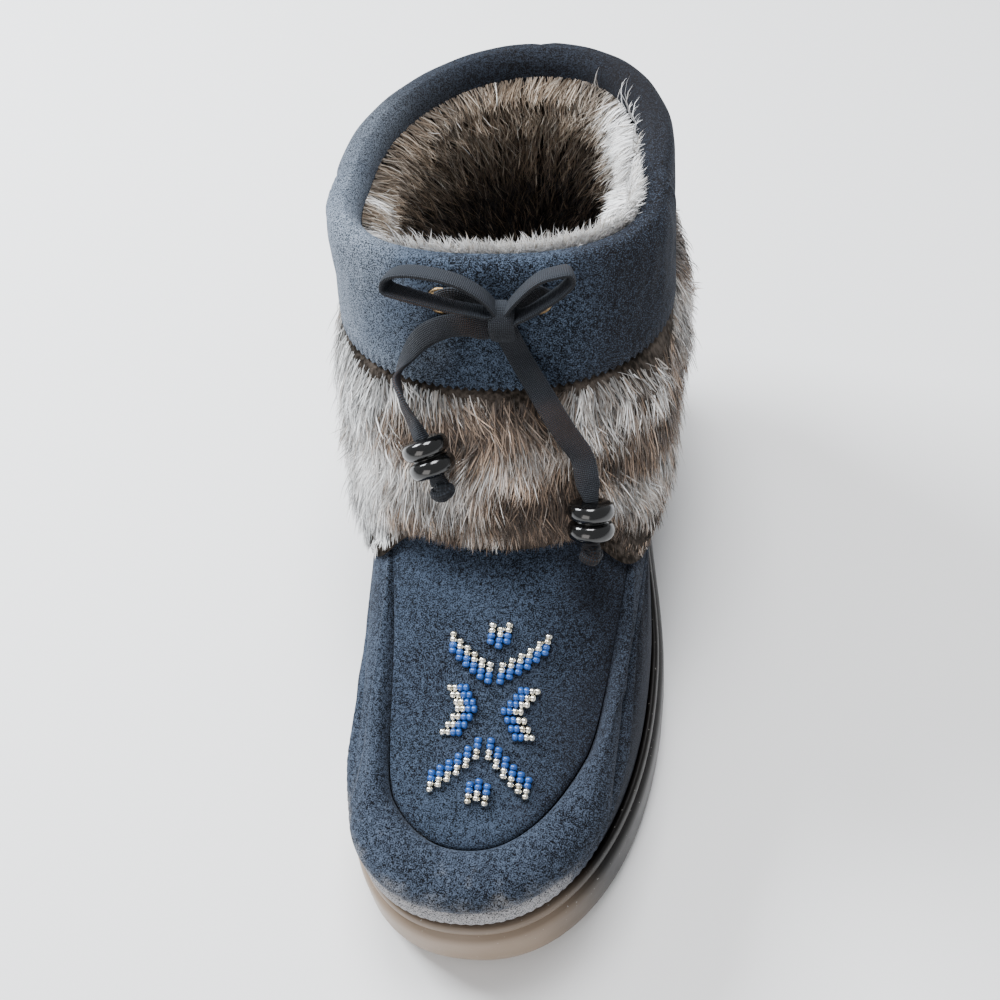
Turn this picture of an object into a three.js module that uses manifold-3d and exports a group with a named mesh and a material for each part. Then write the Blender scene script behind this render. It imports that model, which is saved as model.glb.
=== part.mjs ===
// Ankle mukluk for the left foot: a hollow suede boot on a rubber cup sole, with a rolled moccasin
// seam round a beaded apron, a fur cuff, a padded collar and a drawstring tied in a bow.
// Millimetres. +Z is up, the floor is Z 0, the toe points to -Y and the inner side of the foot is -X.

import * as THREE from "three";
import { mergeVertices } from "three/addons/utils/BufferGeometryUtils.js";
import Module from "manifold-3d";

const wasm = await Module();
wasm.setup();

const { clamp, lerp, smoothstep } = THREE.MathUtils;

// Driving dimensions
const SOLE_LENGTH = 276; // back of the heel to the tip of the toe, over the feather edge and welt
const BALL_WIDTH = 98; // the upper across the ball of the foot
const UPPER_HEIGHT = 148; // the collar's rim above the bed of the cup, at the front

// The origin is under the middle of the whole boot, cuff included, and not of the sole alone.
const REAR_SHIFT = 5.9;
const SIDE_SHIFT = 1.5;

const GAP = 0.3; // between pieces that touch
const SEAT_GAP = 0.9; // under a curved overlay
const WALL = 2.4; // suede and lining of the upper

// Sole
const BALL_THICKNESS = 17; // floor to the bed of the cup under the ball
const HEEL_LIFT = 8; // how much higher the bed lies under the heel
const TOE_SPRING = 7; // how far the sole's tip lifts off the floor
const ARCH_RISE = 2.5; // how far the waist is off the floor
const LIP_HEIGHT = 8; // the cup's lip above its bed
const LIP_THICKNESS = 2.4;
const LIP_BAND = 4.4; // height of the raised band round the lip
const BAND_STEP = 0.9; // how far that band stands proud of the groove under it
const FLARE = 2; // how far the sole's side stands out past the lip
const EDGE_RADIUS = 4; // round lower edge of the sole
const GROOVE_DEPTH = 3;
const GROOVE_WIDTH = 5;
const GROOVE_PITCH = 14;
const GROOVE_MARGIN = 13; // ground rubber left between a groove's ends and the sole's edge
const INSOLE_THICKNESS = 4;

// Moccasin roll, apron and cuff
const ROLL_PROUD = 5.5; // how far the roll stands out from the last at the toe
const ROLL_PROUD_BACK = 1.6; // and where it has run in under the cuff
const FLANGE_THICKNESS = 1.6; // flat border of the roll band, below the roll
const SEAM_GAP = 1; // between the roll and the apron, measured along the last
const APRON_THICKNESS = 1.8;
const FUR_DEPTH = 11; // pile of the cuff at its fullest
const FUR_EDGE_DEPTH = 5.5; // pile at the cuff's upper and lower edges
const LOCK_DEPTH = 3; // how far a lock of fur stands out
const LOCK_ROWS = 4;
const LOCKS_ROUND = 26;

// Collar, eyelets and drawstring
const COLLAR_THICKNESS = 4.2; // padded outer ply of the collar
const FACING_THICKNESS = 3; // the ply turned down inside
const FACING_DEPTH = 13;
const EYELET_RADIUS = 4.6;
const EYELET_BORE = 2.5;
const EYELET_FLANGE = 1.1; // how far the eyelet's flange stands off the collar
const EYELET_SPREAD = 28; // centre to centre
const EYELET_SHIFT = 1; // of the pair along X
const LACE_WIDTH = 7.5;
const LACE_THICKNESS = 1.8;
const LOOP_PROUD = 7.9; // how far the middle of a standing loop is off the collar
const KNOT_BREADTH = 9; // the bow's knot, across, up and out
const KNOT_HEIGHT = 12;
const KNOT_DEPTH = 10;
const BEAD_RADIUS = 7.5;
const BEAD_HEIGHT = 12.5;
const BEAD_WAIST = 5; // radius of the groove between a bead's two discs
const BEAD_BORE = 2.4;
const BEAD_PROUD = 6.85; // how far a bead's middle is off the fur
const STOP_RADIUS = 4.4; // of the knot that holds a bead
const STOP_LENGTH = 1.25; // its length over its breadth
const BEADWORK_HEIGHT = 1.9; // of the sewn beads over the apron
const BEADWORK_BREADTH = 7.2; // of a band of them
const BEADWORK_SEAT = 0.55; // clear of the apron, so that a band crosses its curve
const BEADWORK_STEPS = 8;

// Rings of the last, from the feather edge to the rim. at is the ring's place from 0 to 1. front, back, broad
// and heel are places along the sole, as shares of its length from the heel. The rises are heights over the
// cup's bed, as shares of the upper's height. half and heelHalf are half widths as shares of the ball width.
// sway is how far the toe swings to the inner side, lean how far the whole ring is set over to it, and tail
// how far its back swings to the outer side. point is the roundness of the front: 2 is an ellipse.
const RING_COLUMNS =
  "at front frontRise back backRise sideRise half broad heelHalf heel sway lean tail point waist";
const RINGS = [
  [0, 0.965, 0, 0.034, 0, 0, 0.488, 0.65, 0.362, 0.16, 0.05, 0, 0, 2.3, 0.14],
  [0.07, 0.976, 0.12, 0.027, 0.11, 0.13, 0.5, 0.65, 0.378, 0.16, 0.05, 0, 0, 2.3, 0.13],
  [0.14, 0.966, 0.175, 0.022, 0.215, 0.225, 0.494, 0.62, 0.395, 0.17, 0.048, 0, 0, 2.25, 0.09],
  [0.2, 0.918, 0.2, 0.02, 0.27, 0.285, 0.47, 0.48, 0.405, 0.18, 0.04, 0, 0, 2.2, 0.05],
  [0.3, 0.81, 0.275, 0.018, 0.33, 0.325, 0.465, 0.43, 0.42, 0.19, 0.02, 0, 0, 2.1, 0.02],
  [0.41, 0.69, 0.37, 0.018, 0.38, 0.365, 0.47, 0.4, 0.44, 0.19, 0, 0.005, 0, 2.05, 0],
  [0.5, 0.59, 0.455, 0.02, 0.43, 0.41, 0.48, 0.37, 0.455, 0.2, 0, 0.01, 0, 2.1, 0],
  [0.64, 0.525, 0.6, 0.022, 0.55, 0.56, 0.495, 0.33, 0.482, 0.23, 0, 0.018, 0.02, 2.15, 0],
  [0.77, 0.467, 0.745, 0.02, 0.66, 0.7, 0.51, 0.31, 0.5, 0.25, 0, 0.02, 0.04, 2.2, 0],
  [0.89, 0.435, 0.885, 0.012, 0.79, 0.84, 0.515, 0.3, 0.508, 0.25, 0, 0.02, 0.06, 2.3, 0],
  [1, 0.413, 1, 0.004, 0.915, 0.95, 0.515, 0.3, 0.508, 0.25, 0, 0.02, 0.07, 2.35, 0],
].map((row) => Object.fromEntries(RING_COLUMNS.split(" ").map((name, i) => [name, row[i]])));
const BALL_SKEW = 0.035; // the inner ball joint lies this share of the length nearer the toe
const INNER_WAIST = 1.0; // the waist cuts in this much on the inner side
const OUTER_WAIST = 0.25;
const HEEL_ROUNDNESS = 2.15;

// Places of the pieces' edges on the last, as shares of the way from feather edge to rim
const SEAM_FRONT = 0.2; // apron seam at the toe
const SEAM_BACK = 0.56; // and where it has run in under the cuff
const ROLL_LOW_FRONT = 0.112; // lower edge of the padded roll at the toe
const ROLL_LOW_BACK = 0.46;
const FLANGE_FRONT = 0.05; // lower edge of the roll band's border at the toe
const FLANGE_BACK = 0.4;
const CUFF_LOW = 0.5; // at the front
const CUFF_LOW_SIDE = 0.3;
const COLLAR_LOW = 0.775;
const WALL_TOP = 0.965; // the upper's own wall ends inside the collar
const APRON_TOP = 0.53; // the apron ends under the cuff
const APRON_SIDE = 0.46; // the apron reaches back to where its seam is this high
const SEAM_SPREAD = 0.62; // how far round, from toe 0 to heel 1, the roll band reaches
const SEAM_RISE_INNER = [0.165, 0.34]; // from here to here, counted likewise, the seam climbs to its back
const SEAM_RISE_OUTER = [0.24, 0.4];
const SEAM_SPLIT = 3; // the steps of the way round are this much closer there

// Steps of the way round: over the heel, along the side and over the front, on each side
const HEEL_STEPS = 6;
const SIDE_STEPS = 7;
const FRONT_STEPS = 13;
const HEEL_SHARE = 0.28;
const SIDE_SHARE = 0.5;

// Smooth value of one column of the rings at a place between feather edge and rim (cubic through the rows).
function column(key) {
  const xs = RINGS.map((row) => row.at);
  const ys = RINGS.map((row) => row[key]);
  const last = xs.length - 1;
  const chord = (i) => (ys[i + 1] - ys[i]) / (xs[i + 1] - xs[i]);
  const slope = xs.map((_, i) => {
    if (i === 0) return chord(0);
    if (i === last) return chord(last - 1);
    const before = chord(i - 1);
    const after = chord(i);
    return before * after <= 0 ? 0 : (2 * before * after) / (before + after);
  });
  return (t) => {
    const x = clamp(t, 0, 1);
    const i = Math.min(xs.findLastIndex((at) => at <= x), last - 1);
    const span = xs[i + 1] - xs[i];
    const k = (x - xs[i]) / span;
    const square = k * k;
    const cube = square * k;
    return (
      ys[i] * (2 * cube - 3 * square + 1) +
      ys[i + 1] * (3 * square - 2 * cube) +
      span * slope[i] * (cube - 2 * square + k) +
      span * slope[i + 1] * (cube - square)
    );
  };
}

const ring = Object.fromEntries(Object.keys(RINGS[0]).map((key) => [key, column(key)]));

const alongSole = (share) => SOLE_LENGTH * (0.5 - share) - REAR_SHIFT;
const shareAt = (y) => 0.5 - (y + REAR_SHIFT) / SOLE_LENGTH;

// Height of the cup's bed over the floor: level under the ball, higher under heel and toe tip.
function bedHeight(y) {
  const share = shareAt(y);
  const toe = clamp((share - 0.66) / 0.34, 0, 1);
  return BALL_THICKNESS + HEEL_LIFT * (1 - smoothstep(share, 0.15, 0.6)) + TOE_SPRING * toe ** 2;
}

// Height of the sole's underside: on the floor under heel and ball, lifted at the waist and the toe tip.
function groundHeight(y) {
  const share = shareAt(y);
  const toe = clamp((share - 0.8) / 0.2, 0, 1);
  const waist = smoothstep(share, 0.3, 0.4) * (1 - smoothstep(share, 0.46, 0.56));
  return TOE_SPRING * toe ** 2 + ARCH_RISE * waist;
}

// A point of the last's outer surface. way runs once round from the back of the heel, over the outer side, to
// the toe at 0.5 and back over the inner side; up runs from the feather edge, 0, to the rim, 1.
function lastPoint(way, up) {
  const outer = way <= 0.5;
  const v = outer ? way * 2 : (1 - way) * 2;
  const side = outer ? 1 : -1;
  const half = ring.half(up) * BALL_WIDTH;
  const heelHalf = ring.heelHalf(up) * BALL_WIDTH;
  const skew = BALL_SKEW * (1 - smoothstep(up, 0, 0.5)) * -side;
  const broadY = alongSole(ring.broad(up) + skew);
  const heelY = alongSole(ring.heel(up));
  const frontY = alongSole(ring.front(up));
  const backY = alongSole(ring.back(up));
  let x, y;
  if (v < HEEL_SHARE) {
    const angle = ((v / HEEL_SHARE) * Math.PI) / 2;
    x = heelHalf * Math.sin(angle) ** (2 / HEEL_ROUNDNESS);
    y = lerp(heelY, backY, Math.max(Math.cos(angle), 0) ** (2 / HEEL_ROUNDNESS));
  } else if (v < SIDE_SHARE) {
    const share = (v - HEEL_SHARE) / (SIDE_SHARE - HEEL_SHARE);
    const waist = ring.waist(up) * (outer ? OUTER_WAIST : INNER_WAIST);
    x = lerp(heelHalf, half, smoothstep(share, 0, 1)) * (1 - waist * Math.sin(Math.PI * share) ** 2);
    y = lerp(heelY, broadY, share);
  } else {
    const angle = (((v - SIDE_SHARE) / (1 - SIDE_SHARE)) * Math.PI) / 2;
    const power = 2 / ring.point(up);
    x = half * Math.max(Math.cos(angle), 0) ** power;
    y = lerp(broadY, frontY, Math.sin(angle) ** power);
  }
  const toeward = clamp((broadY - y) / (broadY - frontY), 0, 1);
  const sway = ring.sway(up) * BALL_WIDTH * toeward ** 2;
  const g = (backY - y) / (backY - frontY);
  const rise =
    ring.backRise(up) * (1 - g) * (1 - 2 * g) +
    ring.sideRise(up) * 4 * g * (1 - g) +
    ring.frontRise(up) * g * (2 * g - 1);
  const heelward = clamp((broadY - y) / (broadY - backY), 0, 1);
  const set = (ring.tail(up) * heelward ** 2 - ring.lean(up)) * BALL_WIDTH;
  return new THREE.Vector3(side * x - sway + set + SIDE_SHIFT, y, bedHeight(y) + GAP + rise * UPPER_HEIGHT);
}

// The last's outward normal, from differences along both directions.
function lastNormal(way, up) {
  const step = 1e-3;
  const wrap = (w) => ((w % 1) + 1) % 1;
  const round = lastPoint(wrap(way + step), up).sub(lastPoint(wrap(way - step), up));
  const rise = lastPoint(way, Math.min(up + step, 1)).sub(lastPoint(way, Math.max(up - step, 0)));
  return rise.cross(round).normalize();
}

// The last's point moved out along its normal, and straight on past the rim where up is over 1.
function offLast(way, up, out) {
  return lastPoint(way, up).addScaledVector(lastNormal(way, up), out);
}

// Stations round the last, the same on both sides, split times finer than the plain steps.
function stations(split = 1) {
  const side = [];
  const stretch = (from, to, steps) => {
    for (let i = 0; i < steps * split; i++) side.push(lerp(from, to, i / (steps * split)));
  };
  stretch(0, HEEL_SHARE, HEEL_STEPS);
  stretch(HEEL_SHARE, SIDE_SHARE, SIDE_STEPS);
  stretch(SIDE_SHARE, 1, FRONT_STEPS);
  return [...side.map((v) => v / 2), 0.5, ...side.slice(1).reverse().map((v) => 1 - v / 2)];
}

// A geometry from a list of points and triangles, turned so that its faces point out.
function closedGeometry(points, triangles) {
  const position = new Float32Array(points.flatMap((p) => [p.x, p.y, p.z]));
  const volumeOf = ([a, b, c]) => points[a].dot(points[b].clone().cross(points[c]));
  const volume = triangles.reduce((sum, triangle) => sum + volumeOf(triangle), 0);
  const index = triangles.flatMap(([a, b, c]) => (volume > 0 ? [a, b, c] : [a, c, b]));
  const geometry = new THREE.BufferGeometry();
  geometry.setAttribute("position", new THREE.BufferAttribute(position, 3));
  geometry.setIndex(index);
  return mergeVertices(geometry, 1e-4);
}

// Triangles of a grid of rows by columns of points, closing on itself in either direction where asked.
function gridTriangles(rows, columns, closeRows, closeColumns, start = 0) {
  const triangles = [];
  const lastRow = closeRows ? rows : rows - 1;
  const lastColumn = closeColumns ? columns : columns - 1;
  for (let i = 0; i < lastRow; i++) {
    for (let j = 0; j < lastColumn; j++) {
      const at = (r, c) => start + (r % rows) * columns + (c % columns);
      triangles.push([at(i, j), at(i + 1, j), at(i + 1, j + 1)], [at(i, j), at(i + 1, j + 1), at(i, j + 1)]);
    }
  }
  return triangles;
}

// A band all the way round: profile(way) gives the closed outline of its section as [up, out] pairs.
function ringSolid(ways, profile) {
  const rows = ways.map((way) => profile(way).map(([up, out]) => offLast(way, up, out)));
  return closedGeometry(rows.flat(), gridTriangles(rows.length, rows[0].length, true, true));
}

// An open panel: profile(way) gives the closed outline of its section, and its two end sections are capped.
function panelSolid(ways, profile) {
  const rows = ways.map((way) => profile(way).map(([up, out]) => offLast(way, up, out)));
  const columns = rows[0].length;
  const triangles = gridTriangles(rows.length, columns, false, true);
  const cap = (start) => {
    for (let j = 1; j < columns / 2; j++) {
      const [a, b, c, d] = [j - 1, j, columns - 1 - j, columns - j].map((k) => start + (k % columns));
      const faces = [[a, b, c], [a, c, d]];
      triangles.push(...(start ? faces.map(([p, q, r]) => [p, r, q]) : faces));
    }
  };
  cap(0);
  cap((rows.length - 1) * columns);
  return closedGeometry(rows.flat(), triangles);
}

// A lidded loft: rings of points, the first and last closed by strips straight across the foot.
function loftSolid(rings) {
  const count = rings[0].length;
  const triangles = gridTriangles(rings.length, count, false, true);
  const lid = (start, flip) => {
    for (let i = 0; i < count / 2; i++) {
      const [a, b, c, d] = [i, i + 1, (count - i - 1) % count, (count - i) % count].map((k) => start + k);
      const faces = [[a, b, c], [a, c, d]].filter((face) => new Set(face).size === 3);
      triangles.push(...(flip ? faces.map(([p, q, r]) => [p, r, q]) : faces));
    }
  };
  lid(0, false);
  lid((rings.length - 1) * count, true);
  return closedGeometry(rings.flat(), triangles);
}

// Boolean cutting
function toManifold(geometry) {
  const bare = geometry.clone();
  bare.deleteAttribute("normal");
  bare.deleteAttribute("uv");
  const merged = mergeVertices(bare, 1e-4);
  return new wasm.Manifold(
    new wasm.Mesh({
      numProp: 3,
      vertProperties: new Float32Array(merged.attributes.position.array),
      triVerts: new Uint32Array(merged.index.array),
    }),
  );
}

function fromManifold(solid) {
  const { vertProperties, triVerts } = solid.getMesh();
  const geometry = new THREE.BufferGeometry();
  geometry.setAttribute("position", new THREE.BufferAttribute(new Float32Array(vertProperties), 3));
  geometry.setIndex(new THREE.BufferAttribute(new Uint32Array(triVerts), 1));
  return geometry;
}

// Sole

// Place up the last that is a number of millimetres over the bed of the cup, found by halving.
function upAtRise(way, rise) {
  let low = 0;
  let high = 0.3;
  for (let i = 0; i < 24; i++) {
    const middle = (low + high) / 2;
    const point = lastPoint(way, middle);
    if (point.z - bedHeight(point.y) < rise) low = middle;
    else high = middle;
  }
  return low;
}

// The last's outline at a rise over the bed, moved outwards in plan, at a height given over the floor.
function soleRing(out, heightAt, rise = LIP_HEIGHT) {
  return stations().map((way) => {
    const up = upAtRise(way, rise);
    const normal = lastNormal(way, up).setZ(0).normalize();
    const point = lastPoint(way, up).addScaledVector(normal, out);
    return point.setZ(heightAt(point.y));
  });
}

function makeOutsole() {
  const lipTop = (y) => bedHeight(y) + LIP_HEIGHT;
  const lip = GAP + LIP_THICKNESS;
  const side = lip + FLARE;
  const body = toManifold(
    loftSolid([
      soleRing(side - EDGE_RADIUS, groundHeight),
      soleRing(side - EDGE_RADIUS * 0.3, (y) => groundHeight(y) + EDGE_RADIUS * 0.3),
      soleRing(side, (y) => groundHeight(y) + EDGE_RADIUS),
      soleRing(side, (y) => lerp(groundHeight(y), lipTop(y), 0.62)),
      soleRing(lip - BAND_STEP + 0.3, (y) => lipTop(y) - LIP_BAND - BAND_STEP),
      soleRing(lip + 0.3, (y) => lipTop(y) - LIP_BAND),
      soleRing(lip, (y) => lipTop(y) - 0.8),
      soleRing(lip - 0.8, lipTop),
      soleRing(GAP, lipTop),
      soleRing(GAP, (y) => bedHeight(y) + LIP_HEIGHT / 2, LIP_HEIGHT / 2),
      soleRing(GAP, bedHeight, 0),
    ]),
  );
  return fromManifold(grooves().reduce((left, groove) => left.subtract(groove), body));
}

// Round-ended grooves across the forefoot and the heel.
function grooves() {
  const cut = [];
  const row = (fromShare, toShare) => {
    const count = Math.floor(((toShare - fromShare) * SOLE_LENGTH) / GROOVE_PITCH);
    for (let i = 0; i <= count; i++) {
      const y = alongSole(lerp(fromShare, toShare, i / count));
      const [inner, outer] = soleWidthAt(y);
      const half = (outer - inner) / 2 - GROOVE_MARGIN;
      const shape = new THREE.Shape();
      const radius = GROOVE_WIDTH / 2;
      shape.absarc(half - radius, 0, radius, -Math.PI / 2, Math.PI / 2);
      shape.absarc(radius - half, 0, radius, Math.PI / 2, Math.PI * 1.5);
      const options = { depth: GROOVE_DEPTH * 2, bevelEnabled: false, curveSegments: 4 };
      const bar = new THREE.ExtrudeGeometry(shape, options);
      bar.translate((inner + outer) / 2, y, groundHeight(y) - GROOVE_DEPTH);
      cut.push(toManifold(bar));
    }
  };
  row(0.09, 0.26);
  row(0.6, 0.86);
  return cut;
}

// The sole's inner and outer edges, in X, at a place along it.
function soleWidthAt(y) {
  const edge = stations(2).map((way) => lastPoint(way, 0));
  const half = Math.floor(edge.length / 2);
  const crossing = (points) => {
    const i = points.findIndex((p, k) => k && (points[k - 1].y - y) * (p.y - y) <= 0);
    const share = (y - points[i - 1].y) / (points[i].y - points[i - 1].y);
    return lerp(points[i - 1].x, points[i].x, share);
  };
  return [crossing(edge.slice(half)), crossing(edge.slice(0, half + 1))];
}

function makeInsole() {
  const out = -(WALL + GAP);
  return loftSolid([
    soleRing(out, (y) => bedHeight(y) + GAP, 0),
    soleRing(out, (y) => bedHeight(y) + GAP + INSOLE_THICKNESS, 0),
  ]);
}

// Upper

const steps = (from, to, count) => Array.from({ length: count + 1 }, (_, i) => lerp(from, to, i / count));

function makeUpper() {
  const ups = [0, 0.04, 0.08, 0.11, 0.14, 0.165, 0.19, ...steps(0.22, WALL_TOP, 13)];
  const inside = [...steps(WALL_TOP, 0.2, 7), 0.14, 0.08, 0];
  return ringSolid(stations(), () => [...ups.map((up) => [up, 0]), ...inside.map((up) => [up, -WALL])]);
}

// How far round from the toe, 0, to the back of the heel, 1.
const fromToe = (way) => Math.abs(way - 0.5) * 2;

// The apron seam, and the roll band's lower edge, as places up the last.
function seamUp(way) {
  const [start, end] = way > 0.5 ? SEAM_RISE_INNER : SEAM_RISE_OUTER;
  return lerp(SEAM_FRONT, SEAM_BACK, smoothstep(fromToe(way), start, end) ** 1.4);
}

const rollLow = (way) =>
  lerp(ROLL_LOW_FRONT, ROLL_LOW_BACK, smoothstep(fromToe(way), 0.15, SEAM_SPREAD) ** 1.6);
const flangeUp = (way) =>
  lerp(FLANGE_FRONT, FLANGE_BACK, smoothstep(fromToe(way), 0.12, SEAM_SPREAD + 0.04) ** 1.5);

// Lower edge of the fur cuff.
const cuffLow = (way) => lerp(CUFF_LOW, CUFF_LOW_SIDE, smoothstep(fromToe(way), 0.12, 0.5));

// Length in millimetres of a step up the last.
const stretchUp = (way, up) => lastPoint(way, up + 0.01).distanceTo(lastPoint(way, up)) / 0.01;

// How much further up the last a line lies that is a distance away from the apron seam, square to it.
function stepFromSeam(way, distance) {
  const step = 1e-3;
  const here = lastPoint(way, seamUp(way));
  const along = lastPoint(way + step, seamUp(way + step)).sub(here).normalize();
  const rise = lastPoint(way, seamUp(way) + step).sub(here);
  return (distance * step) / rise.cross(along).length();
}

// Closed section of the roll band: a flat border, then the padded roll up to the seam. spare thickens it.
function rollProfile(way, spare = 0) {
  const seam = seamUp(way) + stepFromSeam(way, spare);
  const hidden = smoothstep(seamUp(way) - cuffLow(way), -0.06, 0.06);
  const proud = lerp(ROLL_PROUD, ROLL_PROUD_BACK, hidden);
  const millimetre = 1 / stretchUp(way, seamUp(way) - 0.04);
  const roll = seam - rollLow(way) + spare * millimetre;
  const low = flangeUp(way) - spare * 1.5 * millimetre;
  const border = SEAT_GAP + FLANGE_THICKNESS + spare;
  const top = [
    ...steps(low, seam - roll, 7).map((up) => [up, border]),
    ...steps(Math.PI * 0.9, 0, 6).map((angle) => [
      seam - roll / 2 + (Math.cos(angle) * roll) / 2,
      border - 0.4 + Math.sin(angle) * proud,
    ]),
  ];
  return [...top, ...top.map(([up]) => [up, SEAT_GAP - spare]).reverse()];
}

function makeRollBand() {
  return panelSolid(seamWays(), (way) => rollProfile(way));
}

const climbs = (way) => fromToe(way) > SEAM_RISE_INNER[0] && fromToe(way) < SEAM_RISE_OUTER[1];
const frontWays = () => stations(SEAM_SPLIT).filter((way, i) => i % SEAM_SPLIT === 0 || climbs(way));
const seamWays = (spare = 0) => frontWays().filter((way) => fromToe(way) < SEAM_SPREAD + spare);

function apronProfile(way, spare = 0) {
  const low = seamUp(way) + stepFromSeam(way, SEAM_GAP - spare);
  const ups = steps(low, APRON_TOP + spare / stretchUp(way, APRON_TOP), 8);
  return [
    ...ups.map((up) => [up, SEAT_GAP + APRON_THICKNESS + spare]),
    ...ups.map((up) => [up, SEAT_GAP - spare]).reverse(),
  ];
}

const apronWays = (spare = 0) => frontWays().filter((way) => seamUp(way) < APRON_SIDE + spare);

const makeApron = () => panelSolid(apronWays(), (way) => apronProfile(way));

// Locks of fur lie in staggered rows, each thickest near its lower tip.
function lockDepth(round, down) {
  const row = Math.min(Math.floor(down * LOCK_ROWS), LOCK_ROWS - 1);
  const along = down * LOCK_ROWS - row;
  const across = Math.abs(Math.cos(Math.PI * (round * LOCKS_ROUND + row / 2)));
  return LOCK_DEPTH * (0.35 + 0.65 * across) * smoothstep(along, 0, 0.75);
}

function makeFurCuff() {
  const top = COLLAR_LOW - 0.008;
  const cuff = ringSolid(stations(2), (way) => {
    const tip = 0.012 * Math.abs(Math.cos(Math.PI * way * LOCKS_ROUND));
    const low = cuffLow(way) - tip;
    const ups = steps(low, top, 10);
    const outer = ups.map((up) => {
      const share = (up - low) / (top - low);
      const full = Math.sin(Math.PI * share) ** 0.6;
      const lock = lockDepth(way, 1 - share) * smoothstep(1 - share, 0, 0.15);
      return [up, lerp(FUR_EDGE_DEPTH, FUR_DEPTH, full) + lock];
    });
    const inner = steps(top, low, 4).map((up) => [up, SEAT_GAP]);
    return [...outer, ...inner];
  });
  const spare = GAP * 3;
  const room = [
    panelSolid(seamWays(0.04), (way) => rollProfile(way, spare)),
    panelSolid(apronWays(0.04), (way) => apronProfile(way, spare)),
  ];
  const left = room.reduce((solid, piece) => solid.subtract(toManifold(piece)), toManifold(cuff));
  return fromManifold(left.decompose().sort((a, b) => b.volume() - a.volume())[0]);
}

// Collar

function collarProfile(way) {
  const high = 1 / stretchUp(way, 0.9);
  const seat = WALL_TOP + SEAT_GAP * high;
  const outer = [
    [COLLAR_LOW, SEAT_GAP],
    [COLLAR_LOW, SEAT_GAP + 1.6],
    [COLLAR_LOW + 5 * high, SEAT_GAP + 3],
    [0.86, SEAT_GAP + COLLAR_THICKNESS],
    [0.94, SEAT_GAP + COLLAR_THICKNESS],
    [0.98, SEAT_GAP + COLLAR_THICKNESS * 0.75],
    [1, SEAT_GAP + COLLAR_THICKNESS * 0.2],
    [1, -WALL],
    [0.98, -WALL - SEAT_GAP - FACING_THICKNESS * 0.75],
    [0.945, -WALL - SEAT_GAP - FACING_THICKNESS],
    [1 - FACING_DEPTH * high, -WALL - SEAT_GAP - FACING_THICKNESS * 0.6],
    [1 - FACING_DEPTH * high, -WALL - SEAT_GAP],
  ];
  return [...outer, [seat, -WALL - SEAT_GAP], [seat, SEAT_GAP], [0.86, SEAT_GAP]];
}

// The collar's outer face at the front, a distance across from the middle: its point and outward direction.
const EYELET_UP = 0.925;
function collarFront(x, up = EYELET_UP, proud = 0) {
  const near = steps(0.38, 0.62, 240);
  const miss = (way) => Math.abs(lastPoint(way, up).x - x);
  const way = near.reduce((best, next) => (miss(next) < miss(best) ? next : best));
  return { point: offLast(way, up, SEAT_GAP + COLLAR_THICKNESS + proud), normal: lastNormal(way, up) };
}

const EYELETS = [
  ["eyelet_inner", EYELET_SHIFT - EYELET_SPREAD / 2],
  ["eyelet_outer", EYELET_SHIFT + EYELET_SPREAD / 2],
];

// A geometry made round +Z, moved so that +Z lies along a direction.
function aimed(geometry, point, direction) {
  const turn = new THREE.Quaternion().setFromUnitVectors(new THREE.Vector3(0, 0, 1), direction);
  return geometry.applyQuaternion(turn).translate(point.x, point.y, point.z);
}

function makeCollar() {
  const body = toManifold(ringSolid(stations(), collarProfile));
  const holes = EYELETS.map(([, x]) => {
    const { point, normal } = collarFront(x);
    const depth = COLLAR_THICKNESS + SEAT_GAP + 2;
    const radius = EYELET_RADIUS * 0.75 + GAP;
    const hole = new THREE.CylinderGeometry(radius, radius, depth, 16);
    hole.rotateX(Math.PI / 2).translate(0, 0, 1.6 - depth / 2);
    return toManifold(aimed(hole, point, normal));
  });
  return fromManifold(holes.reduce((left, hole) => left.subtract(hole), body));
}

// A flanged ring, its barrel set into the collar's hole.
function makeEyelet(x) {
  const { point, normal } = collarFront(x);
  const barrel = EYELET_RADIUS * 0.75;
  const profile = [
    [EYELET_BORE, -COLLAR_THICKNESS * 0.7],
    [barrel, -COLLAR_THICKNESS * 0.7],
    [barrel, GAP],
    [EYELET_RADIUS, GAP],
    [EYELET_RADIUS, GAP + EYELET_FLANGE * 0.5],
    [EYELET_RADIUS - 0.8, GAP + EYELET_FLANGE],
    [EYELET_BORE, GAP + EYELET_FLANGE * 0.4],
    [EYELET_BORE, -COLLAR_THICKNESS * 0.7],
  ].map(([r, z]) => new THREE.Vector2(r, z));
  const turned = new THREE.LatheGeometry(profile, 20).rotateX(Math.PI / 2);
  return aimed(turned, point, normal);
}

// Drawstring, bow and beads

// How far out from the last the surface of the collar, the cuff or the apron lies under the drawstring.
function coverOut(way, up) {
  const collar = SEAT_GAP + COLLAR_THICKNESS;
  const fur = FUR_DEPTH + LOCK_DEPTH;
  const apron = SEAT_GAP + APRON_THICKNESS;
  const low = cuffLow(way) - 0.015;
  const upper = lerp(fur, collar, smoothstep(up, COLLAR_LOW - 0.02, COLLAR_LOW + 0.05));
  return lerp(apron, upper, smoothstep(up, low - 0.035, low));
}

// A place on the cover, a number of millimetres proud of it, with the directions out, up and across there.
function placeOn({ way, up, proud }) {
  const out = lastNormal(way, up);
  const rise = lastPoint(way, up + 0.01).sub(lastPoint(way, up - 0.01));
  const across = rise.clone().cross(out).normalize();
  return { point: offLast(way, up, coverOut(way, up) + proud), out, up: out.clone().cross(across), across };
}

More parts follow.
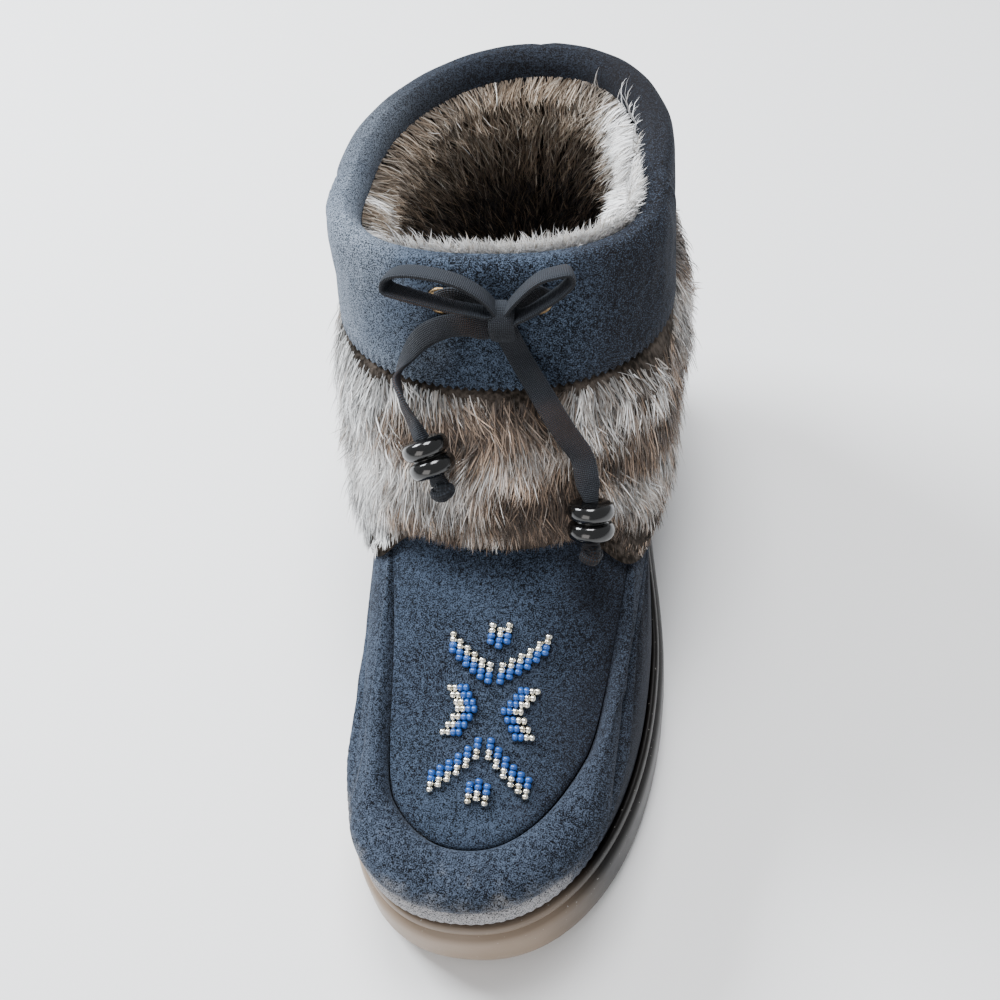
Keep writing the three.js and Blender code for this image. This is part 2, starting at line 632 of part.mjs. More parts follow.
// A flat strip along a smooth path. sides gives the direction of its breadth at each of the path's points.
function strip(points, sides, breadth, thickness, count) {
  const path = new THREE.CatmullRomCurve3(points);
  const turn = new THREE.CatmullRomCurve3(sides);
  const corners = [
    [-0.5, -0.25],
    [-0.42, -0.5],
    [0.42, -0.5],
    [0.5, -0.25],
    [0.5, 0.25],
    [0.42, 0.5],
    [-0.42, 0.5],
    [-0.5, 0.25],
  ];
  const rows = steps(0, 1, count).map((t) => {
    const along = path.getTangent(t);
    const side = turn.getPoint(t).projectOnPlane(along).normalize();
    const face = along.clone().cross(side);
    const centre = path.getPoint(t);
    return corners.map(([w, h]) =>
      centre.clone().addScaledVector(side, w * breadth).addScaledVector(face, h * thickness),
    );
  });
  const size = corners.length;
  const triangles = gridTriangles(rows.length, size, false, true);
  const cap = (start, turned) => {
    for (let j = 1; j < size - 1; j++) {
      const face = [start, start + j, start + j + 1];
      triangles.push(turned ? face.reverse() : face);
    }
  };
  cap(0, false);
  cap((rows.length - 1) * size, true);
  return closedGeometry(rows.flat(), triangles);
}

// Lace through a table of places on the cover. tilt turns its breadth from lying flat, 0, to on edge, 90.
function lace(table, count) {
  const places = table.map(placeOn);
  const path = new THREE.CatmullRomCurve3(places.map((place) => place.point));
  const sides = table.map(({ tilt }, i) => {
    const along = path.getTangent(i / (table.length - 1));
    const flat = along.clone().cross(places[i].out).normalize();
    const angle = THREE.MathUtils.degToRad(tilt);
    return flat.multiplyScalar(Math.cos(angle)).addScaledVector(places[i].out, Math.sin(angle));
  });
  return strip(places.map((place) => place.point), sides, LACE_WIDTH, LACE_THICKNESS, count);
}

// Each lace's places: way round the last, place up it, millimetres proud of what lies under it, and tilt.
const LACES = {
  lace_run_inner: {
    count: 8,
    places: [
      { way: 0.521, up: 0.938, proud: 2.7, tilt: 0 },
      { way: 0.509, up: 0.928, proud: 2.7, tilt: 0 },
      { way: 0.498, up: 0.916, proud: 2.9, tilt: 0 },
    ],
  },
  lace_run_outer: {
    count: 8,
    places: [
      { way: 0.457, up: 0.944, proud: 2.7, tilt: 0 },
      { way: 0.466, up: 0.931, proud: 2.7, tilt: 0 },
      { way: 0.477, up: 0.917, proud: 2.9, tilt: 0 },
    ],
  },
  lace_loop_inner: {
    count: 28,
    places: [
      { way: 0.496, up: 0.953, proud: LOOP_PROUD, tilt: 90 },
      { way: 0.509, up: 0.984, proud: LOOP_PROUD, tilt: 90 },
      { way: 0.53, up: 0.999, proud: LOOP_PROUD, tilt: 90 },
      { way: 0.557, up: 1, proud: LOOP_PROUD, tilt: 90 },
      { way: 0.571, up: 0.986, proud: LOOP_PROUD, tilt: 90 },
      { way: 0.573, up: 0.964, proud: LOOP_PROUD, tilt: 90 },
      { way: 0.559, up: 0.956, proud: LOOP_PROUD, tilt: 90 },
      { way: 0.536, up: 0.947, proud: LOOP_PROUD, tilt: 90 },
      { way: 0.517, up: 0.937, proud: LOOP_PROUD, tilt: 90 },
      { way: 0.4985, up: 0.927, proud: LOOP_PROUD, tilt: 90 },
    ],
  },
  lace_loop_outer: {
    count: 24,
    places: [
      { way: 0.477, up: 0.953, proud: LOOP_PROUD, tilt: 90 },
      { way: 0.458, up: 0.992, proud: LOOP_PROUD, tilt: 90 },
      { way: 0.444, up: 1, proud: LOOP_PROUD, tilt: 90 },
      { way: 0.433, up: 1, proud: LOOP_PROUD, tilt: 90 },
      { way: 0.431, up: 0.986, proud: LOOP_PROUD, tilt: 90 },
      { way: 0.438, up: 0.968, proud: LOOP_PROUD, tilt: 90 },
      { way: 0.454, up: 0.944, proud: LOOP_PROUD, tilt: 90 },
      { way: 0.474, up: 0.918, proud: LOOP_PROUD, tilt: 90 },
    ],
  },
  lace_tail_inner: {
    count: 30,
    places: [
      { way: 0.5, up: 0.888, proud: 5.2, tilt: 0 },
      { way: 0.509, up: 0.892, proud: 5, tilt: 0 },
      { way: 0.528, up: 0.883, proud: 3.4, tilt: 8 },
      { way: 0.551, up: 0.856, proud: 3.4, tilt: 25 },
      { way: 0.568, up: 0.814, proud: 4.3, tilt: 50 },
      { way: 0.57, up: 0.788, proud: 4.6, tilt: 60 },
      { way: 0.562, up: 0.762, proud: 5.2, tilt: 50 },
      { way: 0.554, up: 0.726, proud: 5.8, tilt: 40 },
      { way: 0.547, up: 0.703, proud: 6.4, tilt: 30 },
    ],
  },
  lace_tail_outer: {
    count: 30,
    places: [
      { way: 0.484, up: 0.87, proud: 3.2, tilt: 0 },
      { way: 0.476, up: 0.828, proud: 1.8, tilt: 0 },
      { way: 0.463, up: 0.788, proud: 1.5, tilt: 0 },
      { way: 0.45, up: 0.737, proud: 1.5, tilt: 0 },
      { way: 0.438, up: 0.694, proud: 1.8, tilt: 0 },
      { way: 0.427, up: 0.658, proud: 3.2, tilt: 20 },
      { way: 0.426, up: 0.63, proud: 5.6, tilt: 20 },
      { way: 0.425, up: 0.6, proud: 6.6, tilt: 10 },
    ],
  },
};

const BOW_KNOT = { way: 0.4882, up: 0.905, proud: KNOT_DEPTH / 2 + GAP };

function makeBowKnot() {
  const place = placeOn(BOW_KNOT);
  const ball = new THREE.SphereGeometry(0.5, 16, 10).scale(KNOT_BREADTH, KNOT_HEIGHT, KNOT_DEPTH);
  const turn = new THREE.Matrix4().makeBasis(place.across, place.up, place.out);
  return ball.applyMatrix4(turn).translate(place.point.x, place.point.y, place.point.z);
}

// A bead of two discs with a groove between them, threaded on a lace.
function makeBead({ point, along }) {
  const half = BEAD_HEIGHT / 2;
  const profile = [
    [BEAD_BORE, -half],
    [BEAD_WAIST, -half],
    [BEAD_RADIUS - 1, -half * 0.84],
    [BEAD_RADIUS, -half * 0.56],
    [BEAD_RADIUS - 1, -half * 0.24],
    [BEAD_WAIST, -half * 0.1],
    [BEAD_WAIST, half * 0.1],
    [BEAD_RADIUS - 1, half * 0.24],
    [BEAD_RADIUS, half * 0.56],
    [BEAD_RADIUS - 1, half * 0.84],
    [BEAD_WAIST, half],
    [BEAD_BORE, half],
    [BEAD_BORE, -half],
  ].map(([r, z]) => new THREE.Vector2(r, z));
  return aimed(new THREE.LatheGeometry(profile, 20).rotateX(Math.PI / 2), point, along);
}

// The knot that holds a bead.
function makeStop({ point, along }) {
  return aimed(new THREE.SphereGeometry(STOP_RADIUS, 14, 10).scale(1, 1, STOP_LENGTH), point, along);
}

// A threaded piece's centre, and the direction of the lace through it, from its two ends' places.
function threaded(from, to) {
  const a = placeOn({ ...from, proud: BEAD_PROUD }).point;
  const b = placeOn({ ...to, proud: BEAD_PROUD }).point;
  return { point: a.clone().lerp(b, 0.5), along: b.clone().sub(a).normalize() };
}

const BEADS = {
  inner: { from: { way: 0.543, up: 0.689 }, to: { way: 0.535, up: 0.65 } },
  outer: { from: { way: 0.425, up: 0.59 }, to: { way: 0.424, up: 0.52 } },
};

// Beadwork: bands of sewn beads on the apron, each through three places of way and up.
const BEADWORK = {
  beadwork_crown_back: [[0.5, 0.413], [0.49, 0.413], [0.479, 0.412]],
  beadwork_chevron_back: [[0.537, 0.401], [0.494, 0.374], [0.445, 0.395]],
  beadwork_chevron_inner: [[0.538, 0.351], [0.515, 0.339], [0.536, 0.311]],
  beadwork_chevron_outer: [[0.45, 0.345], [0.474, 0.338], [0.447, 0.302]],
  beadwork_chevron_front: [[0.539, 0.255], [0.496, 0.298], [0.45, 0.247]],
  beadwork_crown_front: [[0.503, 0.261], [0.495, 0.261], [0.486, 0.261]],
};

// The strip lies flat on the apron, its breadth square to its path.
function makeBeadwork(places) {
  const found = places.map(([way, up]) => placeOn({ way, up, proud: BEADWORK_SEAT + BEADWORK_HEIGHT / 2 }));
  const points = found.map((place) => place.point);
  const path = new THREE.CatmullRomCurve3(points);
  const sides = found.map((place, i) => place.out.clone().cross(path.getTangent(i / (found.length - 1))));
  return strip(points, sides, BEADWORK_BREADTH, BEADWORK_HEIGHT, BEADWORK_STEPS);
}

const suede = { color: 0x3a4153, roughness: 0.95, metalness: 0 };
const materials = {
  outsole: { color: 0x3b3732, roughness: 0.32, metalness: 0 },
  insole: { color: 0x8d8072, roughness: 1, metalness: 0 },
  suede,
  apron: { color: 0x2b3140, roughness: 0.95, metalness: 0 },
  fur: { color: 0xb1a59a, roughness: 1, metalness: 0 },
  brass: { color: 0xa08255, roughness: 0.4, metalness: 1 },
  lace: { color: 0x2c2f36, roughness: 0.8, metalness: 0 },
  bead: { color: 0x0b0c0e, roughness: 0.12, metalness: 0 },
  beadwork: { color: 0x2f62b4, roughness: 0.2, metalness: 0 },
};

const boot = new THREE.Group();

function addPiece(name, geometry, material) {
  const mesh = new THREE.Mesh(geometry, new THREE.MeshStandardMaterial(material));
  mesh.name = name;
  boot.add(mesh);
}

addPiece("outsole", makeOutsole(), materials.outsole);
addPiece("insole", makeInsole(), materials.insole);
addPiece("upper", makeUpper(), materials.suede);
addPiece("roll_band", makeRollBand(), materials.suede);
addPiece("apron", makeApron(), materials.apron);
addPiece("fur_cuff", makeFurCuff(), materials.fur);
addPiece("collar", makeCollar(), materials.suede);
for (const [name, x] of EYELETS) addPiece(name, makeEyelet(x), materials.brass);
addPiece("lace_knot", makeBowKnot(), materials.lace);
for (const [name, { count, places }] of Object.entries(LACES)) {
  addPiece(name, lace(places, count), materials.lace);
}
for (const [side, { from, to }] of Object.entries(BEADS)) {
  const bead = threaded(from, to);
  const below = BEAD_HEIGHT / 2 + Math.sqrt(STOP_RADIUS ** 2 - BEAD_BORE ** 2) * STOP_LENGTH + GAP;
  const stop = { along: bead.along, point: bead.point.clone().addScaledVector(bead.along, below) };
  addPiece(`bead_${side}`, makeBead(bead), materials.bead);
  addPiece(`lace_stop_${side}`, makeStop(stop), materials.lace);
}
for (const [name, band] of Object.entries(BEADWORK)) addPiece(name, makeBeadwork(band), materials.beadwork);

export default boot;
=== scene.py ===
"""Looks of one ankle mukluk: suede moccasin, padded roll, beaded apron, fur cuff, tied collar, cup sole.

Lengths are millimetres in the shoe's own frame (+Z up, -Y to the toe, +X to the outer side); meshes are
written in metres. A place on the foot is given as (way, up, out): way runs once round from the back of the
heel over the outer side, up from the feather edge to the rim, and out is the distance off the last.
"""

import logging
import math
from dataclasses import dataclass, field
from enum import Enum

import bmesh
import bpy
import numpy as np
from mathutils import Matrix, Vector


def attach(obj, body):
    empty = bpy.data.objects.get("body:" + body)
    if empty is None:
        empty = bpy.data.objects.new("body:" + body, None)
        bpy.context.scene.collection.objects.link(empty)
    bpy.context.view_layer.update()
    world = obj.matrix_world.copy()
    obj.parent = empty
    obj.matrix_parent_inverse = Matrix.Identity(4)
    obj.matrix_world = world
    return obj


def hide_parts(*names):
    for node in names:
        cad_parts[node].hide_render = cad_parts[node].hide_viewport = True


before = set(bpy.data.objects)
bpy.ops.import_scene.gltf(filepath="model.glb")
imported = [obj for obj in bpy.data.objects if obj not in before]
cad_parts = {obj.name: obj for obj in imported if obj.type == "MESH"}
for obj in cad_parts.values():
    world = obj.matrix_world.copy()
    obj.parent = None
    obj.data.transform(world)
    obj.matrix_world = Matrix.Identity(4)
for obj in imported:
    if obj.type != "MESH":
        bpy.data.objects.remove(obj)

log = logging.getLogger("mukluk")
METRE = 0.001
SEED = 20417
Array = np.ndarray
Colour = tuple[float, float, float]
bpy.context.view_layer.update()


# Small number helpers


def lerp(start: Array, end: Array, share: Array) -> Array:
    """Value that lies a share of the way from start to end."""
    return start + (end - start) * share


def ease(value: Array, low: float, high: float) -> Array:
    """Smooth step: 0 below low, 1 above high, 3k^2 - 2k^3 between."""
    k = np.clip((np.asarray(value, float) - low) / (high - low), 0, 1)
    return k * k * (3 - 2 * k)


def unit(vectors: Array) -> Array:
    """Vectors divided by their lengths."""
    return vectors / np.maximum(np.linalg.norm(vectors, axis=-1, keepdims=True), 1e-9)


def ripple(a: Array, b: Array, seed: int, count: int = 5) -> Array:
    """Soft waves over two parameters, about -1 to 1: the mean of sines with seeded directions and phases.

    Args:
        a: First parameter, one unit to a wave.
        b: Second parameter.
        seed: Seed of the directions.
        count: How many sines are summed.

    Returns:
        The waves' height at each place.
    """
    rng = np.random.default_rng(seed)
    total = 0
    turns, phases, paces = (rng.uniform(low, high, count) for low, high in ((0, 6.28), (0, 6.28), (0.6, 1.7)))
    for turn, phase, pace in zip(turns, phases, paces):
        total = total + np.sin(6.283 * pace * (a * math.cos(turn) + b * math.sin(turn)) + phase)
    return total / math.sqrt(count)


# The last

RING_NAMES = (
    "at front frontRise back backRise sideRise half broad heelHalf heel sway lean tail point waist"
).split()
RINGS = np.array(
    [
        [0.0, 0.965, 0.0, 0.034, 0.0, 0.0, 0.488, 0.65, 0.362, 0.16, 0.05, 0.0, 0.0, 2.3, 0.14],
        [0.07, 0.976, 0.12, 0.027, 0.11, 0.13, 0.5, 0.65, 0.378, 0.16, 0.05, 0.0, 0.0, 2.3, 0.13],
        [0.14, 0.966, 0.175, 0.022, 0.215, 0.225, 0.494, 0.62, 0.395, 0.17, 0.048, 0.0, 0.0, 2.25, 0.09],
        [0.2, 0.918, 0.2, 0.02, 0.27, 0.285, 0.47, 0.48, 0.405, 0.18, 0.04, 0.0, 0.0, 2.2, 0.05],
        [0.3, 0.81, 0.275, 0.018, 0.33, 0.325, 0.465, 0.43, 0.42, 0.19, 0.02, 0.0, 0.0, 2.1, 0.02],
        [0.41, 0.69, 0.37, 0.018, 0.38, 0.365, 0.47, 0.4, 0.44, 0.19, 0.0, 0.005, 0.0, 2.05, 0.0],
        [0.5, 0.59, 0.455, 0.02, 0.43, 0.41, 0.48, 0.37, 0.455, 0.2, 0.0, 0.01, 0.0, 2.1, 0.0],
        [0.64, 0.525, 0.6, 0.022, 0.55, 0.56, 0.495, 0.33, 0.482, 0.23, 0.0, 0.018, 0.02, 2.15, 0.0],
        [0.77, 0.467, 0.745, 0.02, 0.66, 0.7, 0.51, 0.31, 0.5, 0.25, 0.0, 0.02, 0.04, 2.2, 0.0],
        [0.89, 0.435, 0.885, 0.012, 0.79, 0.84, 0.515, 0.3, 0.508, 0.25, 0.0, 0.02, 0.06, 2.3, 0.0],
        [1.0, 0.413, 1.0, 0.004, 0.915, 0.95, 0.515, 0.3, 0.508, 0.25, 0.0, 0.02, 0.07, 2.35, 0.0],
    ]
)


def ring_slopes() -> Array:
    """Slope of each column at each row: the harmonic mean of the chords on both sides, and 0 at a turn."""
    chords = np.diff(RINGS, axis=0) / np.diff(RINGS[:, :1], axis=0)
    before, after = chords[:-1], chords[1:]
    total = np.where(before + after == 0, 1, before + after)
    middle = np.where(before * after <= 0, 0, 2 * before * after / total)
    return np.vstack([chords[:1], middle, chords[-1:]])


RING_SLOPES = ring_slopes()


@dataclass(frozen=True)
class FootForm:
    """The last: closed outlines round the foot at heights up the upper, in the shoe's own sizes."""

    sole_length: float = 276.0
    ball_width: float = 98.0
    upper_height: float = 148.0
    rear_shift: float = 5.9
    side_shift: float = 1.5
    gap: float = 0.3
    ball_thickness: float = 17.0
    heel_lift: float = 8.0
    toe_spring: float = 7.0
    arch_rise: float = 2.5
    ball_skew: float = 0.035
    inner_waist: float = 1.0
    outer_waist: float = 0.25
    heel_roundness: float = 2.15
    heel_share: float = 0.28
    side_share: float = 0.5

    def ring(self, name: str, up: Array) -> Array:
        """Value of a column of RINGS at a height, by the cubic through the rows."""
        column = RING_NAMES.index(name)
        at, value, slope = RINGS[:, 0], RINGS[:, column], RING_SLOPES[:, column]
        x = np.clip(up, 0, 1)
        i = np.clip(np.searchsorted(at, x, side="right") - 1, 0, len(at) - 2)
        span = at[i + 1] - at[i]
        k = (x - at[i]) / span
        square, cube = k * k, k * k * k
        return (
            value[i] * (2 * cube - 3 * square + 1)
            + value[i + 1] * (3 * square - 2 * cube)
            + span * slope[i] * (cube - 2 * square + k)
            + span * slope[i + 1] * (cube - square)
        )

    def along(self, share: Array) -> Array:
        """Y of a share of the sole's length from the back."""
        return self.sole_length * (0.5 - share) - self.rear_shift

    def share(self, y: Array) -> Array:
        """Share of the sole's length at a Y."""
        return 0.5 - (y + self.rear_shift) / self.sole_length

    def bed(self, y: Array) -> Array:
        """Height of the cup's bed: level under the ball, higher under heel and toe tip."""
        share = self.share(y)
        toe = np.clip((share - 0.66) / 0.34, 0, 1)
        return self.ball_thickness + self.heel_lift * (1 - ease(share, 0.15, 0.6)) + self.toe_spring * toe**2

    def ground(self, y: Array) -> Array:
        """Height of the underside: 0 under heel and ball, lifted at the waist and the toe tip."""
        share = self.share(y)
        toe = np.clip((share - 0.8) / 0.2, 0, 1)
        waist = ease(share, 0.3, 0.4) * (1 - ease(share, 0.46, 0.56))
        return self.toe_spring * toe**2 + self.arch_rise * waist

    def point(self, way: Array, up: Array) -> Array:
        """Point of the last: a superellipse over the heel, an eased side and a superellipse over the front.

        Args:
            way: Place round the foot, 0 and 1 at the back of the heel and 0.5 at the toe.
            up: Place up the upper, 0 at the feather edge and 1 at the rim.

        Returns:
            Points as (..., 3).
        """
        way, up = np.broadcast_arrays(np.mod(np.asarray(way, float), 1), np.asarray(up, float))
        outer = way <= 0.5
        v = np.where(outer, 2 * way, 2 * (1 - way))
        side = np.where(outer, 1.0, -1.0)
        half, heel_half = (self.ring(name, up) * self.ball_width for name in ("half", "heelHalf"))
        skew = -self.ball_skew * (1 - ease(up, 0, 0.5)) * side
        broad_y, heel_y = self.along(self.ring("broad", up) + skew), self.along(self.ring("heel", up))
        front_y, back_y = self.along(self.ring("front", up)), self.along(self.ring("back", up))
        quarter = math.pi / 2
        heel_turn = np.clip(v / self.heel_share, 0, 1) * quarter
        power = 2 / self.heel_roundness
        heel_x = heel_half * np.sin(heel_turn) ** power
        heel_yy = lerp(heel_y, back_y, np.clip(np.cos(heel_turn), 0, 1) ** power)
        run = np.clip((v - self.heel_share) / (self.side_share - self.heel_share), 0, 1)
        waist = self.ring("waist", up) * np.where(outer, self.outer_waist, self.inner_waist)
        side_x = lerp(heel_half, half, ease(run, 0, 1)) * (1 - waist * np.sin(math.pi * run) ** 2)
        side_y = lerp(heel_y, broad_y, run)
        toe_turn = np.clip((v - self.side_share) / (1 - self.side_share), 0, 1) * quarter
        power = 2 / self.ring("point", up)
        toe_x = half * np.clip(np.cos(toe_turn), 0, 1) ** power
        toe_y = lerp(broad_y, front_y, np.sin(toe_turn) ** power)
        x = np.where(v < self.heel_share, heel_x, np.where(v < self.side_share, side_x, toe_x))
        y = np.where(v < self.heel_share, heel_yy, np.where(v < self.side_share, side_y, toe_y))
        toeward = np.clip((broad_y - y) / (broad_y - front_y), 0, 1)
        heelward = np.clip((broad_y - y) / (broad_y - back_y), 0, 1)
        sway = self.ring("sway", up) * self.ball_width * toeward**2
        tilt = (self.ring("tail", up) * heelward**2 - self.ring("lean", up)) * self.ball_width
        g = (back_y - y) / (back_y - front_y)
        rise = (
            self.ring("backRise", up) * (1 - g) * (1 - 2 * g)
            + self.ring("sideRise", up) * 4 * g * (1 - g)
            + self.ring("frontRise", up) * g * (2 * g - 1)
        )
        height = self.bed(y) + self.gap + rise * self.upper_height
        return np.stack([side * x - sway + tilt + self.side_shift, y, height], axis=-1)

    def rise(self, way: Array, up: Array, step: float = 1e-3) -> Array:
        """Difference of the last's points a step up and a step down."""
        return self.point(way, np.minimum(up + step, 1)) - self.point(way, np.maximum(up - step, 0))

    def normal(self, way: Array, up: Array) -> Array:
        """Outward unit normal: the step up crossed with the step round."""
        step = 1e-3
        way, up = np.broadcast_arrays(np.asarray(way, float), np.asarray(up, float))
        round_step = self.point(way + step, up) - self.point(way - step, up)
        return unit(np.cross(self.rise(way, up), round_step))

    def off(self, way: Array, up: Array, out: Array) -> Array:
        """Point a distance off the last along its normal."""
        return self.point(way, up) + self.normal(way, up) * np.asarray(out, float)[..., None]

    def stretch(self, way: Array, up: Array) -> Array:
        """Millimetres in one unit up the last."""
        return np.linalg.norm(self.point(way, up + 0.01) - self.point(way, up), axis=-1) / 0.01

    def arc(self, ways: Array, up: Array, out: float = 0.0) -> Array:
        """Distance run along a line round the foot, at each of its stations."""
        line = self.off(ways, up, np.full(np.shape(ways), out))
        return np.concatenate([[0], np.cumsum(np.linalg.norm(np.diff(line, axis=0), axis=1))])

    def up_at(self, way: Array, height: Array) -> Array:
        """Place up the last that lies a height over the bed, found by halving the span 0 to 0.3."""
        low, high = np.zeros(np.shape(way)), np.full(np.shape(way), 0.3)
        for _ in range(24):
            middle = (low + high) / 2
            point = self.point(way, middle)
            under = point[..., 2] - self.bed(point[..., 1]) < height
            low, high = np.where(under, middle, low), np.where(under, high, middle)
        return low


FORM = FootForm()


def stations(count: int) -> Array:
    """Evenly spaced places round the foot, count in all, with the same ones on both sides."""
    return np.arange(count) / count


def cell(value: Array, count: int) -> Array:
    """Middle of the cell that a value lies in, with so many cells to a unit."""
    return (np.floor(value * count) + 0.5) / count


def turns(count: int) -> Array:
    """Evenly spaced angles of one full turn."""
    return np.arange(count) / count * 2 * math.pi


def from_toe(way: Array) -> Array:
    """How far round from the toe, 0, to the back of the heel, 1."""
    return np.abs(np.asarray(way) - 0.5) * 2


@dataclass(frozen=True)
class Pattern:
    """Where the upper's pieces meet on the last, and how far off it they stand."""

    seat: float = 0.9
    wall: float = 2.4
    seam_front: float = 0.2
    seam_back: float = 0.56
    seam_spread: float = 0.62
    rise_inner: tuple[float, float] = (0.165, 0.34)
    rise_outer: tuple[float, float] = (0.24, 0.4)
    roll_front: float = 0.112
    roll_back: float = 0.46
    flange_front: float = 0.05
    flange_back: float = 0.4
    cuff_low: float = 0.5
    cuff_low_side: float = 0.3
    collar_low: float = 0.775
    collar_thickness: float = 4.2
    fur_depth: float = 14.0
    apron_thickness: float = 1.8
    apron_top: float = 0.53
    apron_side: float = 0.46

    def seam(self, way: Array) -> Array:
        """Height of the apron seam up the last, which climbs nearer the toe on the inner side."""
        away = from_toe(way)
        climb = np.where(np.asarray(way) > 0.5, ease(away, *self.rise_inner), ease(away, *self.rise_outer))
        return lerp(self.seam_front, self.seam_back, climb**1.4)

    def roll_low(self, way: Array) -> Array:
        """Height of the padded roll's lower edge."""
        return lerp(self.roll_front, self.roll_back, ease(from_toe(way), 0.15, self.seam_spread) ** 1.6)

    def flange(self, way: Array) -> Array:
        """Height of the roll band's lower edge."""
        climb = ease(from_toe(way), 0.12, self.seam_spread + 0.04) ** 1.5
        return lerp(self.flange_front, self.flange_back, climb)

    def cuff(self, way: Array) -> Array:
        """Height of the fur cuff's lower edge."""
        return lerp(self.cuff_low, self.cuff_low_side, ease(from_toe(way), 0.12, 0.5))

    def past_seam(self, way: Array, distance: float) -> Array:
        """Step up the last that ends a distance square away from the apron seam."""
        step = 1e-3
        here = FORM.point(way, self.seam(way))
        along = unit(FORM.point(way + step, self.seam(way + step)) - here)
        rise = FORM.point(way, self.seam(way) + step) - here
        return distance * step / np.linalg.norm(np.cross(rise, along), axis=-1)

    def cover(self, way: Array, up: Array) -> Array:
        """Distance off the last of what lies under the drawstring: collar, fur or apron."""
        onto_collar = ease(up, self.collar_low - 0.02, self.collar_low + 0.05)
        upper = lerp(self.fur_depth, self.seat + self.collar_thickness, onto_collar)
        low = self.cuff(way) - 0.015
        share = np.clip((up - low + 0.035) / 0.035, 0, 1)
        return lerp(self.seat + self.apron_thickness, upper, share * share * (3 - 2 * share))


CUT = Pattern()


# Meshes


def quads(rows: int, columns: int, close_rows: bool, close_columns: bool) -> Array:
    """Corner numbers of a grid's quads, joined to itself in either direction where asked."""
    i = np.arange(rows if close_rows else rows - 1)[:, None]
    j = np.arange(columns if close_columns else columns - 1)[None, :]
    near, far = i * columns, ((i + 1) % rows) * columns
    right = (j + 1) % columns
    return np.stack([near + j, far + j, far + right, near + right], axis=-1).reshape(-1, 4)


def volume(points: Array, faces: list[Array]) -> float:
    """Six times the signed volume in faces: the sum of a . (b x c) over their fans."""
    total = 0.0
    for face in faces:
        for k in range(1, face.shape[1] - 1):
            a, b, c = points[face[:, 0]], points[face[:, k]], points[face[:, k + 1]]
            total += float(np.einsum("ij,ij->", a, np.cross(b, c)))
    return total


def add_piece(
    name: str,
    points: Array,
    faces: list[Array],
    material: bpy.types.Material,
    replaces: tuple[str, ...] = (),
    weld: float = 0.0,
    closed: bool = True,
) -> bpy.types.Object:
    """Mesh object that rides on the boot.

    Args:
        name: Name of the piece.
        points: Its points in millimetres, in any grid of threes.
        faces: Arrays of corner numbers, one for each number of corners.
        material: Its finish.
        replaces: Solids that it stands for.
        weld: Points this near each other, in millimetres, become one.
        closed: Whether the shape is closed, so that its faces can be turned outwards by its volume.

    Returns:
        The object.
    """
    points = points.reshape(-1, 3)
    if closed and volume(points, faces) < 0:
        faces = [face[:, ::-1] for face in faces]
    mesh = bpy.data.meshes.new(name)
    corners = np.concatenate([face.ravel() for face in faces]).astype(np.int32)
    sizes = np.concatenate([np.full(len(face), face.shape[1]) for face in faces]).astype(np.int32)
    mesh.vertices.add(len(points))
    mesh.vertices.foreach_set("co", (points * METRE).astype(np.float32).ravel())
    mesh.loops.add(len(corners))
    mesh.loops.foreach_set("vertex_index", corners)
    mesh.polygons.add(len(sizes))
    starts = np.concatenate([[0], np.cumsum(sizes)[:-1]]).astype(np.int32)
    mesh.polygons.foreach_set("loop_start", starts)
    mesh.polygons.foreach_set("loop_total", sizes)
    mesh.update(calc_edges=True)
    mesh.validate()
    if weld:
        bm = bmesh.new()
        bm.from_mesh(mesh)
        bmesh.ops.remove_doubles(bm, verts=bm.verts, dist=weld * METRE)
        bm.to_mesh(mesh)
        bm.free()
    mesh.polygons.foreach_set("use_smooth", np.full(len(mesh.polygons), True))
    mesh.materials.append(material)
    piece = bpy.data.objects.new(name, mesh)
    bpy.context.scene.collection.objects.link(piece)
    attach(piece, "root")
    if replaces:
        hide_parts(*replaces)
    log.info("%s: %d faces", name, len(mesh.polygons))
    return piece


def set_uv(piece: bpy.types.Object, name: str, per_point: Array) -> None:
    """UV map from one pair for each point, spread to the corners."""
    layer = piece.data.uv_layers.new(name=name)
    corner = np.zeros(len(piece.data.loops), np.int32)
    piece.data.loops.foreach_get("vertex_index", corner)
    layer.data.foreach_set("uv", per_point[corner].astype(np.float32).ravel())


def set_colour(piece: bpy.types.Object, name: str, per_point: Array) -> None:
    """Colour attribute from one colour for each point."""
    layer = piece.data.color_attributes.new(name=name, type="FLOAT_COLOR", domain="POINT")
    rgba = np.concatenate([per_point, np.ones((len(per_point), 1))], axis=1)
    layer.data.foreach_set("color", rgba.astype(np.float32).ravel())


def outline_of(*pairs: tuple[Array, Array]) -> Array:
    """Outlines as (stations, corners, 2) from pairs of up and out, each a number or one value a station."""
    size = max(np.size(value) for pair in pairs for value in pair)
    full = [[np.broadcast_to(np.asarray(value, float), (size,)) for value in pair] for pair in pairs]
    return np.stack([np.stack(pair, axis=-1) for pair in full], axis=1)


def swept(ways: Array, outline: Array) -> Array:
    """Points of outlines set on the last, as (stations, corners, 3)."""
    return FORM.off(ways[:, None], outline[..., 0], outline[..., 1])


def end_caps(rows: int, columns: int) -> list[Array]:
    """Two many-cornered faces that close a panel's first and last section."""
    first = np.arange(columns)[None, :]
    return [first, (rows - 1) * columns + first[:, ::-1]]


def panel(ways: Array, top: Array, under: float) -> tuple[Array, list[Array]]:
    """Points and faces of a strip on the last: its upper outline, closed by a coarser one under it."""
    bottom = top[:, ::-3].copy()
    bottom[..., 1] = under
    outline = np.concatenate([top, bottom], axis=1)
    return swept(ways, outline), [quads(*outline.shape[:2], False, True), *end_caps(*outline.shape[:2])]


